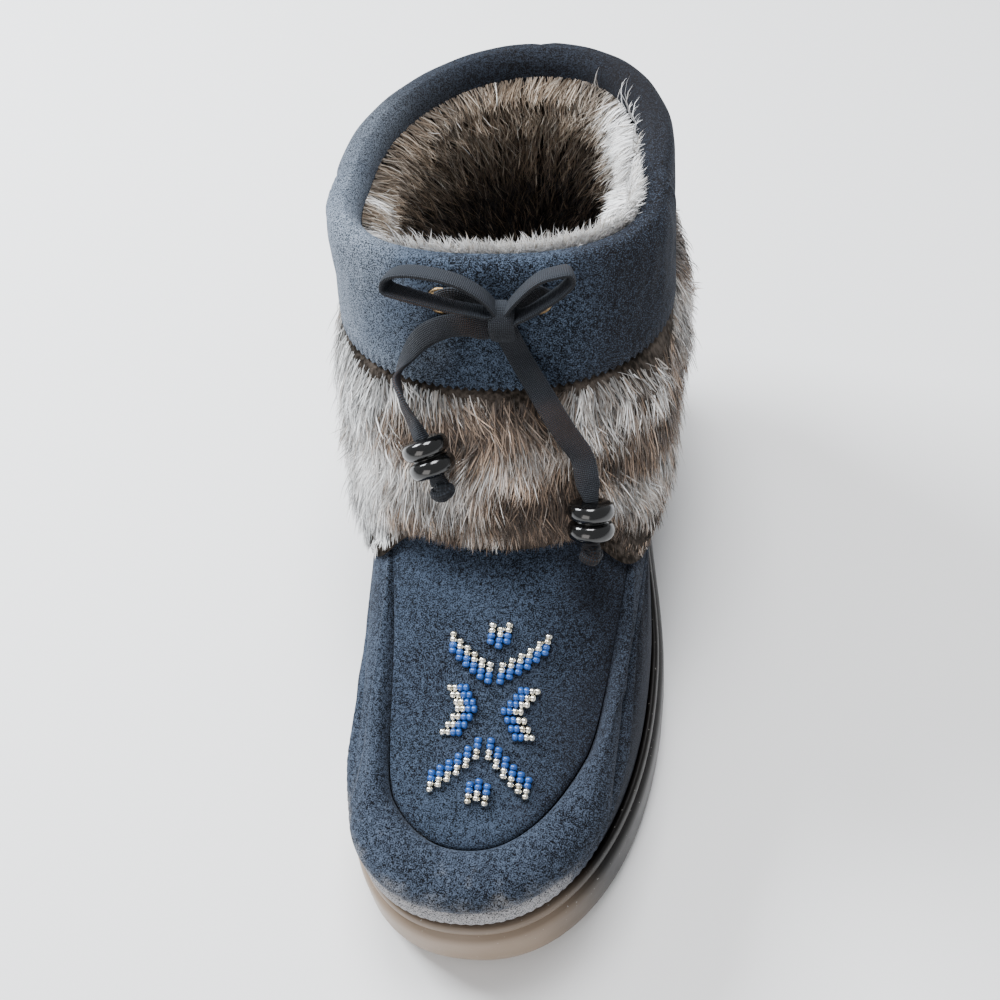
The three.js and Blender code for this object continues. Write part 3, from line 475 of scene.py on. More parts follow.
def straight_across(edge: Array, across: int) -> Array:
    """Grid that joins the outer half of a ring of points to its inner half by straight rows."""
    half = len(edge) // 2
    near, far = edge[: half + 1], edge[(-np.arange(half + 1)) % len(edge)]
    return lerp(near[:, None], far[:, None], np.linspace(0, 1, across + 1)[None, :, None])


def zigzag(run: Array, pitch: float) -> Array:
    """Pinking: 0 to 1 and back over each pitch of the run."""
    return 1 - np.abs(2 * np.mod(run / pitch, 1) - 1)


# Shader expressions


class Signal:
    """A number in a material, on which sums can be written as with plain numbers."""

    def __init__(self, paint: "Paint", socket: bpy.types.NodeSocket) -> None:
        """Wraps an output socket of a material under way."""
        self.paint = paint
        self.socket = socket

    def _math(self, operation: str, other: "Signal | float", swapped: bool = False) -> "Signal":
        """Math node on this and another value."""
        pair = (other, self) if swapped else (self, other)
        return self.paint.number("ShaderNodeMath", {"operation": operation}, {0: pair[0], 1: pair[1]})

    def __add__(self, other: "Signal | float") -> "Signal":
        """Sum."""
        return self._math("ADD", other)

    def __sub__(self, other: "Signal | float") -> "Signal":
        """Difference."""
        return self._math("SUBTRACT", other)

    def __rsub__(self, other: float) -> "Signal":
        """Difference from a number in front."""
        return self._math("SUBTRACT", other, True)

    def __mul__(self, other: "Signal | float") -> "Signal":
        """Product."""
        return self._math("MULTIPLY", other)

    def sine(self) -> "Signal":
        """Sine."""
        return self.paint.number("ShaderNodeMath", {"operation": "SINE"}, {0: self})

    def between(self, low: float, high: float) -> "Signal":
        """Smooth step from 0 at low to 1 at high."""
        settings = {"interpolation_type": "SMOOTHSTEP"}
        return self.paint.number("ShaderNodeMapRange", settings, {0: self, 1: low, 2: high, 3: 0.0, 4: 1.0})


class Paint:
    """A material under way."""

    def __init__(self, name: str) -> None:
        """Starts an empty material with an output."""
        self.material = bpy.data.materials.new(name)
        self.material.use_nodes = True
        self.tree = self.material.node_tree
        self.tree.nodes.clear()
        self.output = self.node("ShaderNodeOutputMaterial", {}, {})

    def node(self, kind: str, settings: dict, inputs: dict) -> bpy.types.Node:
        """Adds a node.

        Args:
            kind: Its type.
            settings: Properties to set first.
            inputs: Values or links of its sockets, by name or number.

        Returns:
            The node.
        """
        made = self.tree.nodes.new(kind)
        for key, value in settings.items():
            setattr(made, key, value)
        for key, value in inputs.items():
            if isinstance(value, Signal):
                self.tree.links.new(value.socket, made.inputs[key])
            elif isinstance(value, bpy.types.NodeSocket):
                self.tree.links.new(value, made.inputs[key])
            else:
                made.inputs[key].default_value = value
        return made

    def number(self, kind: str, settings: dict, inputs: dict) -> Signal:
        """Adds a node and gives its first output as a number."""
        return Signal(self, self.node(kind, settings, inputs).outputs[0])

    def place(self) -> bpy.types.NodeSocket:
        """The point in the shoe's frame, in metres."""
        return self.node("ShaderNodeTexCoord", {}, {}).outputs["Object"]

    def axes(self, vector: bpy.types.NodeSocket) -> tuple[Signal, Signal, Signal]:
        """The three parts of a vector."""
        split = self.node("ShaderNodeSeparateXYZ", {}, {0: vector})
        return tuple(Signal(self, split.outputs[i]) for i in range(3))

    def upward(self) -> Signal:
        """How far the surface faces up, -1 to 1."""
        return self.axes(self.node("ShaderNodeNewGeometry", {}, {}).outputs["Normal"])[2]

    def noise(self, scale: float, detail: float = 2.0, vector: bpy.types.NodeSocket | None = None) -> Signal:
        """Noise of 0 to 1 with so many grains a metre."""
        where = self.place() if vector is None else vector
        return self.number("ShaderNodeTexNoise", {}, {"Vector": where, "Scale": scale, "Detail": detail})

    def mix(self, first: object, second: object, share: Signal | float) -> bpy.types.NodeSocket:
        """Colour that lies a share of the way from first to second."""
        pair = [(*c, 1.0) if isinstance(c, tuple) else c for c in (first, second)]
        inputs = {0: share, 6: pair[0], 7: pair[1]}
        return self.node("ShaderNodeMix", {"data_type": "RGBA"}, inputs).outputs[2]

    def finish(self, sockets: dict, bump: Signal | None = None, depth: float = 0.0) -> bpy.types.Material:
        """Closes the material with a surface shader.

        Args:
            sockets: Values or links of the shader's sockets.
            bump: Height of the relief, 0 to 1.
            depth: Its depth in millimetres.

        Returns:
            The material.
        """
        fixed = {k: (*v, 1.0) if isinstance(v, tuple) and len(v) == 3 else v for k, v in sockets.items()}
        shader = self.node("ShaderNodeBsdfPrincipled", {}, fixed)
        if bump is not None:
            inputs = {"Height": bump, "Distance": depth * METRE, "Strength": 1.0}
            relief = self.node("ShaderNodeBump", {}, inputs)
            self.tree.links.new(relief.outputs[0], shader.inputs["Normal"])
        self.tree.links.new(shader.outputs[0], self.output.inputs[0])
        return self.material


# Finishes


@dataclass(frozen=True)
class Suede:
    """Napped suede: fine pale fibre tips on a dark ground, painted light on the inner side, painted shade on
    the outer side and, where set, towards the back.

    The two spans are millimetres across the boot, from the inner to the outer side.
    """

    name: str
    ground: Colour = (0.002, 0.0025, 0.0035)
    tips: Colour = (0.07, 0.096, 0.142)
    # Colour of the painted shade on the outer side and towards the back.
    painted_shading: Colour = (0.007, 0.0055, 0.005)
    # Colour of the painted light on the inner side.
    painted_light: Colour = (0.23, 0.27, 0.33)
    dust: Colour = (0.42, 0.41, 0.41)
    shade_span: tuple[float, float] = (12.0, 52.0)
    shade_share: float = 0.6
    light_span: tuple[float, float] = (-60.0, -30.0)
    light_share: float = 0.0
    back_shade: float = 0.0
    dusty_toe: bool = False

    def material(self) -> bpy.types.Material:
        """Fibre tips show where fine noise is high; both spans waver with noise of 30 mm."""
        paint = Paint(self.name)
        x, y, z = paint.axes(paint.place())
        grain = paint.noise(2500.0, 1.0)
        pile = paint.noise(700.0, 2.0)
        patch = paint.noise(30.0, 3.0) - 0.5
        tips = (grain * 0.7 + pile * 0.3 + patch * 0.22).between(0.37, 0.66)
        colour = paint.mix(self.ground, self.tips, tips)
        # Painted light: the inner side is paled as if lit from that side.
        if self.light_share:
            low, high = (end * METRE for end in self.light_span)
            pale = (1 - (x + patch * 0.05).between(low, high)) * (grain.between(0.4, 0.58) * 0.85 + 0.15)
            colour = paint.mix(colour, self.painted_light, pale * self.light_share)
        # Painted shade: the outer side darkens as if turned away from the light.
        low, high = (end * METRE for end in self.shade_span)
        dark = (x + patch * 0.06).between(low, high) * (1 - grain.between(0.5, 0.7) * 0.5)
        colour = paint.mix(colour, self.painted_shading, dark * self.shade_share)
        # Painted shade towards the back.
        if self.back_shade:
            back = (y + patch * 0.06).between(0.03, 0.11)
            colour = paint.mix(colour, self.painted_shading, back * self.back_shade)
        if self.dusty_toe:
            toe = (1 - (y + x * 0.3).between(-0.135, -0.09)) * (1 - z.between(0.034, 0.068))
            scuffs = (toe * 0.9 + paint.noise(150.0, 3.0) * 0.6 - 0.55).between(0.0, 0.5)
            worn = scuffs * grain.between(0.32, 0.55)
            colour = paint.mix(colour, self.dust, worn * 0.75)
        sockets = {"Base Color": colour, "Roughness": 0.97, "Sheen Weight": 0.05, "Sheen Roughness": 0.5}
        sockets["Sheen Tint"] = (0.75, 0.82, 1.0)
        sockets["Specular IOR Level"] = 0.1
        return paint.finish(sockets, grain * 0.6 + pile * 0.4, 0.42)


@dataclass(frozen=True)
class Rubber:
    """Glossy moulded rubber, dark, with a painted warm reflection at the toe and pale specks of dust."""

    name: str = "moulded rubber"
    dark: Colour = (0.006, 0.005, 0.0045)
    warm_reflection: Colour = (0.25, 0.19, 0.14)
    speck: Colour = (0.45, 0.43, 0.4)

    def material(self) -> bpy.types.Material:
        """The painted warm reflection fades away from the inner side of the toe; specks are the peaks of fine
        noise.
        """
        paint = Paint(self.name)
        x, y, z = paint.axes(paint.place())
        cloud = (paint.noise(18.0, 2.0) - 0.5) * 0.04
        # Painted reflection of warm light, strongest low on the toe's inner side.
        toe = (1 - (y + x * 0.55 + cloud).between(-0.128, -0.085)) * (1 - z.between(0.018, 0.04) * 0.75)
        colour = paint.mix(self.dark, self.warm_reflection, toe)
        specks = paint.noise(900.0, 1.0).between(0.735, 0.77)
        colour = paint.mix(colour, self.speck, specks * 0.5)
        rough = paint.noise(60.0, 4.0) * 0.2 + specks * 0.3 + 0.26
        sockets = {"Base Color": colour, "Roughness": rough, "Coat Weight": 0.03, "Coat Roughness": 0.15}
        sockets["Specular IOR Level"] = 0.16
        return paint.finish(sockets, paint.noise(240.0, 2.0), 0.05)


@dataclass(frozen=True)
class Fur:
    """Long soft fur in a few tones, darker at the root and pale at the tip; the dark root is partly the
    hairs' own banding, partly painted shade deep in the pile.
    """

    name: str
    tones: tuple[Colour, ...]
    root: float = 0.42
    tip: float = 1.25

    def blend(self, share: Array) -> Array:
        """Colours along the row of tones, for shares 0 to 1 of it."""
        places = np.linspace(0, 1, len(self.tones))
        table = np.array(self.tones)
        return np.stack([np.interp(share, places, table[:, k]) for k in range(3)], axis=-1)

    def material(self) -> bpy.types.Material:
        """The hairs' own colour attribute, with a soft sheen."""
        paint = Paint(self.name)
        colour = paint.node("ShaderNodeAttribute", {"attribute_name": "Pelt"}, {}).outputs["Color"]
        sockets = {"Base Color": colour, "Roughness": 0.55, "Sheen Weight": 0.25, "Sheen Roughness": 0.4}
        sockets["Specular IOR Level"] = 0.3
        return paint.finish(sockets)


@dataclass(frozen=True)
class Underfur:
    """Dense wool under the long hairs, nearly black: partly the fur's own dark underfur, partly painted shade
    in the gaps between the hairs.
    """

    name: str
    dark: Colour
    light: Colour

    def material(self) -> bpy.types.Material:
        """Two browns mixed by noise drawn out along the hairs' fall."""
        paint = Paint(self.name)
        inputs = {"Vector": paint.place(), "Scale": (1.0, 1.0, 0.25)}
        drawn = paint.node("ShaderNodeMapping", {}, inputs).outputs[0]
        strand = paint.noise(700.0, 3.0, drawn)
        patch = paint.noise(45.0, 2.0)
        colour = paint.mix(self.dark, self.light, (strand * 0.6 + patch * 0.5).between(0.4, 0.75))
        sockets = {"Base Color": colour, "Roughness": 1.0, "Specular IOR Level": 0.1}
        return paint.finish(sockets, strand, 1.2)


@dataclass(frozen=True)
class Woven:
    """Flat woven lace."""

    name: str = "woven lace"
    thread: Colour = (0.004, 0.0045, 0.006)
    # Lighter thread: wear, and painted light where the lace faces up.
    worn: Colour = (0.022, 0.027, 0.035)
    # Painted warm reflection in the weave's hollows.
    glint: Colour = (0.08, 0.036, 0.015)

    def material(self) -> bpy.types.Material:
        """Threads cross at an angle: the product of two slanted sine waves on the lace's own map. The thread
        turns lighter on the weave's peaks, in patches of noise and, as painted light, where the lace faces
        up; painted glints of warm reflection lie in its hollows.
        """
        paint = Paint(self.name)
        across, along, _ = paint.axes(paint.node("ShaderNodeUVMap", {"uv_map": "Weave"}, {}).outputs[0])
        one = ((along + across) * 40.0).sine()
        two = ((along - across) * 40.0).sine()
        weave = one * two * 0.5 + 0.5
        # Painted light: faces that look up take more of the lighter thread colour.
        up = paint.upward()
        painted_shading = (weave * 0.45 + paint.noise(60.0, 2.0) * 0.35 + up * 0.3).between(0.42, 0.85)
        colour = paint.mix(self.thread, self.worn, painted_shading)
        glint = (1 - weave).between(0.6, 0.9) * paint.noise(45.0, 1.0).between(0.5, 0.7)
        colour = paint.mix(colour, self.glint, glint * 0.8)
        sockets = {"Base Color": colour, "Roughness": 0.72, "Sheen Weight": 0.05}
        sockets["Sheen Tint"] = (0.7, 0.8, 1.0)
        sockets["Specular IOR Level"] = 0.25
        return paint.finish(sockets, weave, 0.35)


@dataclass(frozen=True)
class Polished:
    """Smooth glossy or metallic finish with faint scuffs."""

    name: str
    colour: Colour
    rough: float
    metal: float = 0.0
    coat: float = 0.0
    tarnish: Colour | None = None

    def material(self) -> bpy.types.Material:
        """Roughness and tarnish vary with noise of a few millimetres."""
        paint = Paint(self.name)
        cloud = paint.noise(350.0, 3.0)
        colour = paint.mix(self.colour, self.tarnish or self.colour, cloud.between(0.45, 0.65))
        sockets = {"Base Color": colour, "Roughness": cloud * 0.12 + self.rough, "Metallic": self.metal}
        sockets["Coat Weight"] = self.coat
        return paint.finish(sockets, paint.noise(1500.0, 2.0), 0.02)


# Every suede has painted shade on its outer side; the collar's also has painted light on its inner side and
# painted shade towards the back.
SUEDE = Suede(
    "suede",
    shade_span=(10.0, 46.0),
    shade_share=0.8,
    light_span=(-54.0, -12.0),
    light_share=0.8,
    back_shade=0.7,
).material()
WRAP_SUEDE = Suede("toe wrap suede", tips=(0.04, 0.05, 0.07), dusty_toe=True).material()
ROLL_SUEDE = Suede(
    "roll suede", tips=(0.062, 0.082, 0.12), shade_span=(16.0, 56.0), dusty_toe=True
).material()
APRON_SUEDE = Suede(
    "apron suede", tips=(0.052, 0.072, 0.11), shade_span=(6.0, 44.0), shade_share=0.7
).material()
RUBBER = Rubber().material()
WOVEN = Woven().material()
BRASS = Polished(
    "aged brass", (0.24, 0.165, 0.085), 0.36, metal=1.0, tarnish=(0.08, 0.055, 0.035)
).material()
GLOSS_BLACK = Polished("black bead gloss", (0.002, 0.002, 0.002), 0.08, coat=0.2).material()
BLUE_GLASS = Polished(
    "blue seed beads", (0.016, 0.08, 0.3), 0.25, coat=0.3, tarnish=(0.011, 0.06, 0.24)
).material()
SILVER = Polished(
    "silver seed beads", (0.86, 0.84, 0.76), 0.14, metal=1.0, tarnish=(0.6, 0.56, 0.46)
).material()
CUFF_TONES = ((0.74, 0.75, 0.75), (0.34, 0.32, 0.3), (0.22, 0.155, 0.11), (0.045, 0.033, 0.026))
LINING_TONES = ((0.95, 0.95, 0.95), (0.48, 0.42, 0.35), (0.2, 0.145, 0.1), (0.014, 0.01, 0.007))
# root darkens each hair towards its root: partly the hairs' own banding, partly painted shade deep in the
# pile.
CUFF_FUR = Fur("cuff fur", CUFF_TONES, root=0.15)
LINING_FUR = Fur("lining fur", LINING_TONES, root=0.5)
# Nearly black wools: partly their own colour, partly painted shade between the hairs.
CUFF_WOOL = Underfur("cuff underfur", (0.01, 0.008, 0.006), (0.08, 0.066, 0.056)).material()
LINING_WOOL = Underfur("lining wool", (0.006, 0.004, 0.003), (0.06, 0.045, 0.03)).material()


# Sub-assemblies


@dataclass
class CupSole:
    """Moulded cup sole: flared side wall, step, lip round the upper, and a grooved tread."""

    lip_height: float = 8.0
    lip_thickness: float = 2.4
    lip_band: float = 4.4
    band_step: float = 0.9
    flare: float = 2.0
    edge_radius: float = 4.0
    groove_width: float = 5.0
    groove_depth: float = 3.0
    groove_pitch: float = 14.0
    groove_margin: float = 13.0
    groove_zones: tuple[tuple[float, float], ...] = ((0.09, 0.26), (0.6, 0.86))
    count: int = 440
    across: int = 24

    def ring(self, out: float, height: Array, rise: float | None = None) -> Array:
        """Outline of the last at a rise over the bed, moved out in plan, at heights over the floor."""
        ways = stations(self.count)
        up = FORM.up_at(ways, self.lip_height if rise is None else rise)
        normal = FORM.normal(ways, up)
        normal[:, 2] = 0
        point = FORM.point(ways, up) + unit(normal) * out
        point[:, 2] = height(point[:, 1])
        return point

    def grooves(self, points: Array) -> Array:
        """Depth of the tread's grooves at points: eased steps round each bar's middle line and ends."""
        edge = FORM.point(stations(self.count), 0)
        middle = self.count // 2
        outer_x = np.interp(points[..., 1], edge[: middle + 1, 1][::-1], edge[: middle + 1, 0][::-1])
        inner_x = np.interp(points[..., 1], edge[middle:, 1], edge[middle:, 0])
        half = (outer_x - inner_x) / 2 - self.groove_margin
        ends = 1 - ease(np.abs(points[..., 0] - (outer_x + inner_x) / 2) - half, -1.0, 1.0)
        depth = np.zeros(points.shape[:-1])
        for low, high in self.groove_zones:
            total = int((high - low) * FORM.sole_length / self.groove_pitch)
            for i in range(total + 1):
                away = np.abs(points[..., 1] - FORM.along(low + (high - low) * i / total))
                slope = ease(away, self.groove_width / 2 - 0.7, self.groove_width / 2 + 0.7)
                depth = np.maximum(depth, 1 - slope)
        return depth * ends * self.groove_depth

    def build(self) -> None:
        """Rings from the underside round the lip to the bed, closed at both ends by straight grids."""
        lip = FORM.gap + self.lip_thickness
        side = lip + self.flare
        top = lambda y: FORM.bed(y) + self.lip_height
        rings = [self.ring(side - self.edge_radius, FORM.ground)]
        for angle in np.linspace(0, math.pi / 2, 6)[1:]:
            out = side - self.edge_radius * (1 - math.sin(angle))
            rise = self.edge_radius * (1 - math.cos(angle))
            rings.append(self.ring(out, lambda y, r=rise: FORM.ground(y) + r))
        for share in (0.25, 0.42, 0.6):
            rings.append(self.ring(side, lambda y, s=share: lerp(FORM.ground(y), top(y), s)))
        step = self.lip_band + self.band_step
        for out, drop in (
            (side - 0.4, step + 2.6),
            (side - 1.1, step + 1.4),
            (lip - self.band_step + 0.4, step + 0.25),
            (lip - self.band_step, step - 0.25),
            (lip - self.band_step, step - 0.65),
            (lip + 0.1, self.lip_band - 0.05),
            (lip + 0.35, self.lip_band - 0.6),
            (lip + 0.3, 2.2),
            (lip, 0.9),
            (lip - 0.35, 0.3),
            (lip - 0.9, 0.0),
            (FORM.gap + 0.5, 0.0),
            (FORM.gap, 0.4),
        ):
            rings.append(self.ring(out, lambda y, d=drop: top(y) - d))
        rings.append(self.ring(FORM.gap, lambda y: FORM.bed(y) + self.lip_height / 2, self.lip_height / 2))
        rings.append(self.ring(FORM.gap, FORM.bed, 0.0))
        body = np.stack(rings)
        lids = [straight_across(row, self.across) for row in (body[0], body[-1])]
        lids[0][..., 2] += self.grooves(lids[0])
        size = body.shape[0] * self.count
        lid = quads(*lids[0].shape[:2], False, False)
        faces = [
            quads(body.shape[0], self.count, False, True)[:, ::-1],
            lid[:, ::-1] + size,
            lid + size + lids[0].shape[0] * lids[0].shape[1],
        ]
        points = np.concatenate([part.reshape(-1, 3) for part in (body, *lids)])
        add_piece("cup_sole", points, faces, RUBBER, ("outsole",), weld=0.01)


@dataclass
class Upper:
    """The suede wall under everything else, with its toe wrap and heel quarter showing."""

    top: float = 0.965
    count: int = 400

    def build(self) -> None:
        """Closed section of an outer face, rounded rim and inner face, carried round the last."""
        ways = stations(self.count)
        outer = np.concatenate([np.linspace(0, 0.2, 16), np.linspace(0.22, self.top, 26)])
        inner = np.concatenate([np.linspace(self.top, 0.2, 12), [0.14, 0.08, 0.0]])
        up = np.broadcast_to(np.concatenate([outer, inner]), (self.count, len(outer) + len(inner)))
        out = np.where(np.arange(up.shape[1]) < len(outer), 0.0, -CUT.wall)[None, :]
        away = from_toe(ways)[:, None]
        visible = ease(up, 0.1, 0.16) * (1 - ease(up, 0.32, 0.4))
        folds = ripple(ways[:, None] * 30, up * 5, 4) * 0.14 + ripple(ways[:, None] * 9, up * 4, 9) * 0.25
        from_back = (1 - away) * FORM.ball_width * 1.6
        back_seam = 0.5 * np.exp(-((from_back / 1.1) ** 2)) * ease(up, 0.06, 0.12)
        relief = np.where(out < 0, 0, folds * visible + back_seam * 0.8)
        points = FORM.off(ways[:, None], up, out + relief)
        faces = [quads(*up.shape, True, True)]
        add_piece("suede_upper", points, faces, WRAP_SUEDE, ("upper",))


@dataclass
class RollBand:
    """Overlay with a pinked lower edge, whose padded roll runs round the apron."""

    proud: float = 5.5
    proud_back: float = 1.6
    thickness: float = 1.6
    pitch: float = 3.0
    tooth: float = 1.5
    count: int = 720

    def build(self) -> None:
        """Section: flat border, crease, raised-sine roll down to the seam; shallow puckers cross the roll."""
        spread = CUT.seam_spread * 0.5
        ways = np.linspace(0.5 - spread, 0.5 + spread, self.count)
        seam = CUT.seam(ways)
        hidden = ease(seam - CUT.cuff(ways), -0.06, 0.06)
        proud = lerp(self.proud, self.proud_back, hidden)
        breadth = seam - CUT.roll_low(ways)
        low = CUT.flange(ways)
        run = FORM.arc(ways, low)
        teeth = zigzag(run, self.pitch) * self.tooth / FORM.stretch(ways, low)
        border = CUT.seat + self.thickness
        across = np.linspace(0, 1, 10)[1:]
        flat_up = [lerp(low + teeth, seam - breadth, share) for share in across[:-1]]
        crease = [border - 0.5 * math.exp(-(((share - 1) / 0.16) ** 2)) for share in across[:-1]]
        pairs = [(low + teeth, np.full(self.count, border - 0.5))]
        pairs += list(zip(flat_up, crease))
        seam_run = FORM.arc(ways, seam)
        for angle in np.linspace(math.pi * 0.94, 0.0, 18):
            lift = math.sin(angle) ** 0.85 if angle > 0 else 0.0
            near_seam = math.exp(-((angle / 0.9) ** 2))
            gathers = (0.28 * near_seam) * np.sin(seam_run / 3.1 + 1.3 * np.sin(seam_run / 17))
            pucker = gathers + 0.3 * np.sin(seam_run / 14 + 2)
            height = border - 0.4 + lift * (proud + pucker * lift)
            pairs.append((seam - breadth / 2 + math.cos(angle) * breadth / 2, height))
        points, faces = panel(ways, outline_of(*pairs), CUT.seat - 0.2)
        piece = add_piece("roll_overlay", points, faces, ROLL_SUEDE, ("roll_band",))


@dataclass
class Apron:
    """Sunken suede plug inside the roll."""

    gap: float = 0.5
    count: int = 220
    rows: int = 34

    def build(self) -> None:
        """Thin panel whose lower edge turns down into the seam and whose face swells slightly."""
        near = np.linspace(0.3, 0.7, 2001)
        near = near[CUT.seam(near) < CUT.apron_side]
        ways = np.linspace(near[0], near[-1], self.count)
        low = CUT.seam(ways) + CUT.past_seam(ways, self.gap)
        share = np.linspace(0, 1, self.rows) ** 1.25
        up = lerp(low[:, None], np.full((self.count, 1), CUT.apron_top), share[None, :])
        depth = (up - low[:, None]) * FORM.stretch(ways, low)[:, None]
        tuck = 1.1 * np.exp(-((depth / 1.6) ** 2))
        swell = 0.45 * ripple(ways[:, None] * 7, up * 5, 21) * ease(depth, 2, 14)
        out = CUT.seat + CUT.apron_thickness - tuck + swell * 0.6
        points, faces = panel(ways, np.stack([up, out], axis=-1), CUT.seat)
        add_piece("apron_plug", points, faces, APRON_SUEDE, ("apron",))


class Metal(Enum):
    """Sorts of seed bead."""

    BLUE = "blue"
    SILVER = "silver"


Place = tuple[float, float]
Arm = tuple[int, Place, Place]
"""So many threads from one place (way, up) to another."""


@dataclass
class Beadwork:
    """Seed beads sewn on the apron in short threads of four, two silver and two blue."""

    bead: float = 2.5
    pitch: float = 1.78
    sides: int = 10

    def bands(self) -> list[tuple[bool, bool, list[Arm]]]:
        """Bands as (threads run to the toe, silver first, arms)."""
        return [
            (True, True, [
                (1, (0.4992, 0.4165), (0.4992, 0.4165)),
                (1, (0.491, 0.4128), (0.491, 0.4128)),
            ]),
            (True, True, [(1, (0.4827, 0.4164), (0.4827, 0.4164))]),
            (True, True, [
                (6, (0.539, 0.3998), (0.499, 0.3776)),
                (6, (0.4869, 0.3773), (0.4419, 0.394)),
            ]),
            (False, True, [
                (3, (0.5285, 0.3581), (0.5203, 0.3458)),
                (4, (0.5171, 0.3398), (0.5297, 0.3125)),
            ]),
            (False, False, [
                (3, (0.4556, 0.3521), (0.4661, 0.3424)),
                (4, (0.4714, 0.3368), (0.4571, 0.3052)),
            ]),
            (True, False, [
                (6, (0.5427, 0.2573), (0.5012, 0.302)),
                (6, (0.4895, 0.3017), (0.4473, 0.249)),
            ]),
            (True, False, [
                (1, (0.5028, 0.2586), (0.5028, 0.2586)),
                (1, (0.4957, 0.2628), (0.4957, 0.2628)),
            ]),
            (True, False, [(1, (0.4875, 0.2577), (0.4875, 0.2577))]),
        ]

    def shape(self) -> tuple[Array, list[Array]]:
        """One bead: a short barrel with rounded shoulders round its hole, turned about its own Z."""
        r, h = self.bead / 2, self.pitch * 0.48
        half = [[0.28 * r, -h], [0.74 * r, -h], [r, -h * 0.4]]
        profile = np.array(half + [[out, -level] for out, level in half[::-1]])
        turn = turns(self.sides)
        x = profile[None, :, 0] * np.cos(turn)[:, None]
        y = profile[None, :, 0] * np.sin(turn)[:, None]
        z = np.broadcast_to(profile[None, :, 1], x.shape)
        points = np.stack([x, y, z], axis=-1).reshape(-1, 3)
        return points, quads(self.sides, len(profile), True, True)

    def build(self) -> None:
        """Copies of one bead, each with its hole along its thread, pressed a little into the nap."""
        found: dict[Metal, list[tuple[Array, ...]]] = {Metal.BLUE: [], Metal.SILVER: []}
        rng = np.random.default_rng(SEED)
        for toeward, silver_first, arms in self.bands():
            places = np.concatenate([np.linspace(start, end, count) for count, start, end in arms])
            centre, normal = (at(places[:, 0], places[:, 1]) for at in (FORM.point, FORM.normal))
            along = np.array([-0.07, -1.0, 0.0] if toeward else [1.0, 0.02, 0.0])
            thread = unit(along - normal * (normal @ along)[:, None])
            drift = rng.normal(0, 0.12, (len(places), 1))
            for k in range(4):
                sort = Metal.SILVER if (k < 2) == silver_first else Metal.BLUE
                spot = centre + thread * ((k - 1.5) * self.pitch + drift)
                spot = spot + normal * (CUT.seat + CUT.apron_thickness + self.bead * 0.4)
                axis = unit(thread + rng.normal(0, 0.1, thread.shape))
                side = unit(np.cross(axis, normal))
                found[sort].append((spot, side, np.cross(side, axis), axis))
        shape, faces = self.shape()
        nodes = tuple(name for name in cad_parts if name.startswith("beadwork_"))
        for sort, parts in found.items():
            spot, side, normal, axis = (np.concatenate([part[i] for part in parts]) for i in range(4))
            points = (
                spot[:, None]
                + shape[None, :, :1] * side[:, None]
                + shape[None, :, 1:2] * normal[:, None]
                + shape[None, :, 2:] * axis[:, None]
            )
            shift = (np.arange(len(spot)) * len(shape))[:, None, None]
            every = (faces[None] + shift).reshape(-1, 4)
            material = SILVER if sort is Metal.SILVER else BLUE_GLASS
            replaced = nodes if sort is Metal.BLUE else ()
            add_piece(f"seed_beads_{sort.value}", points, [every], material, replaced)


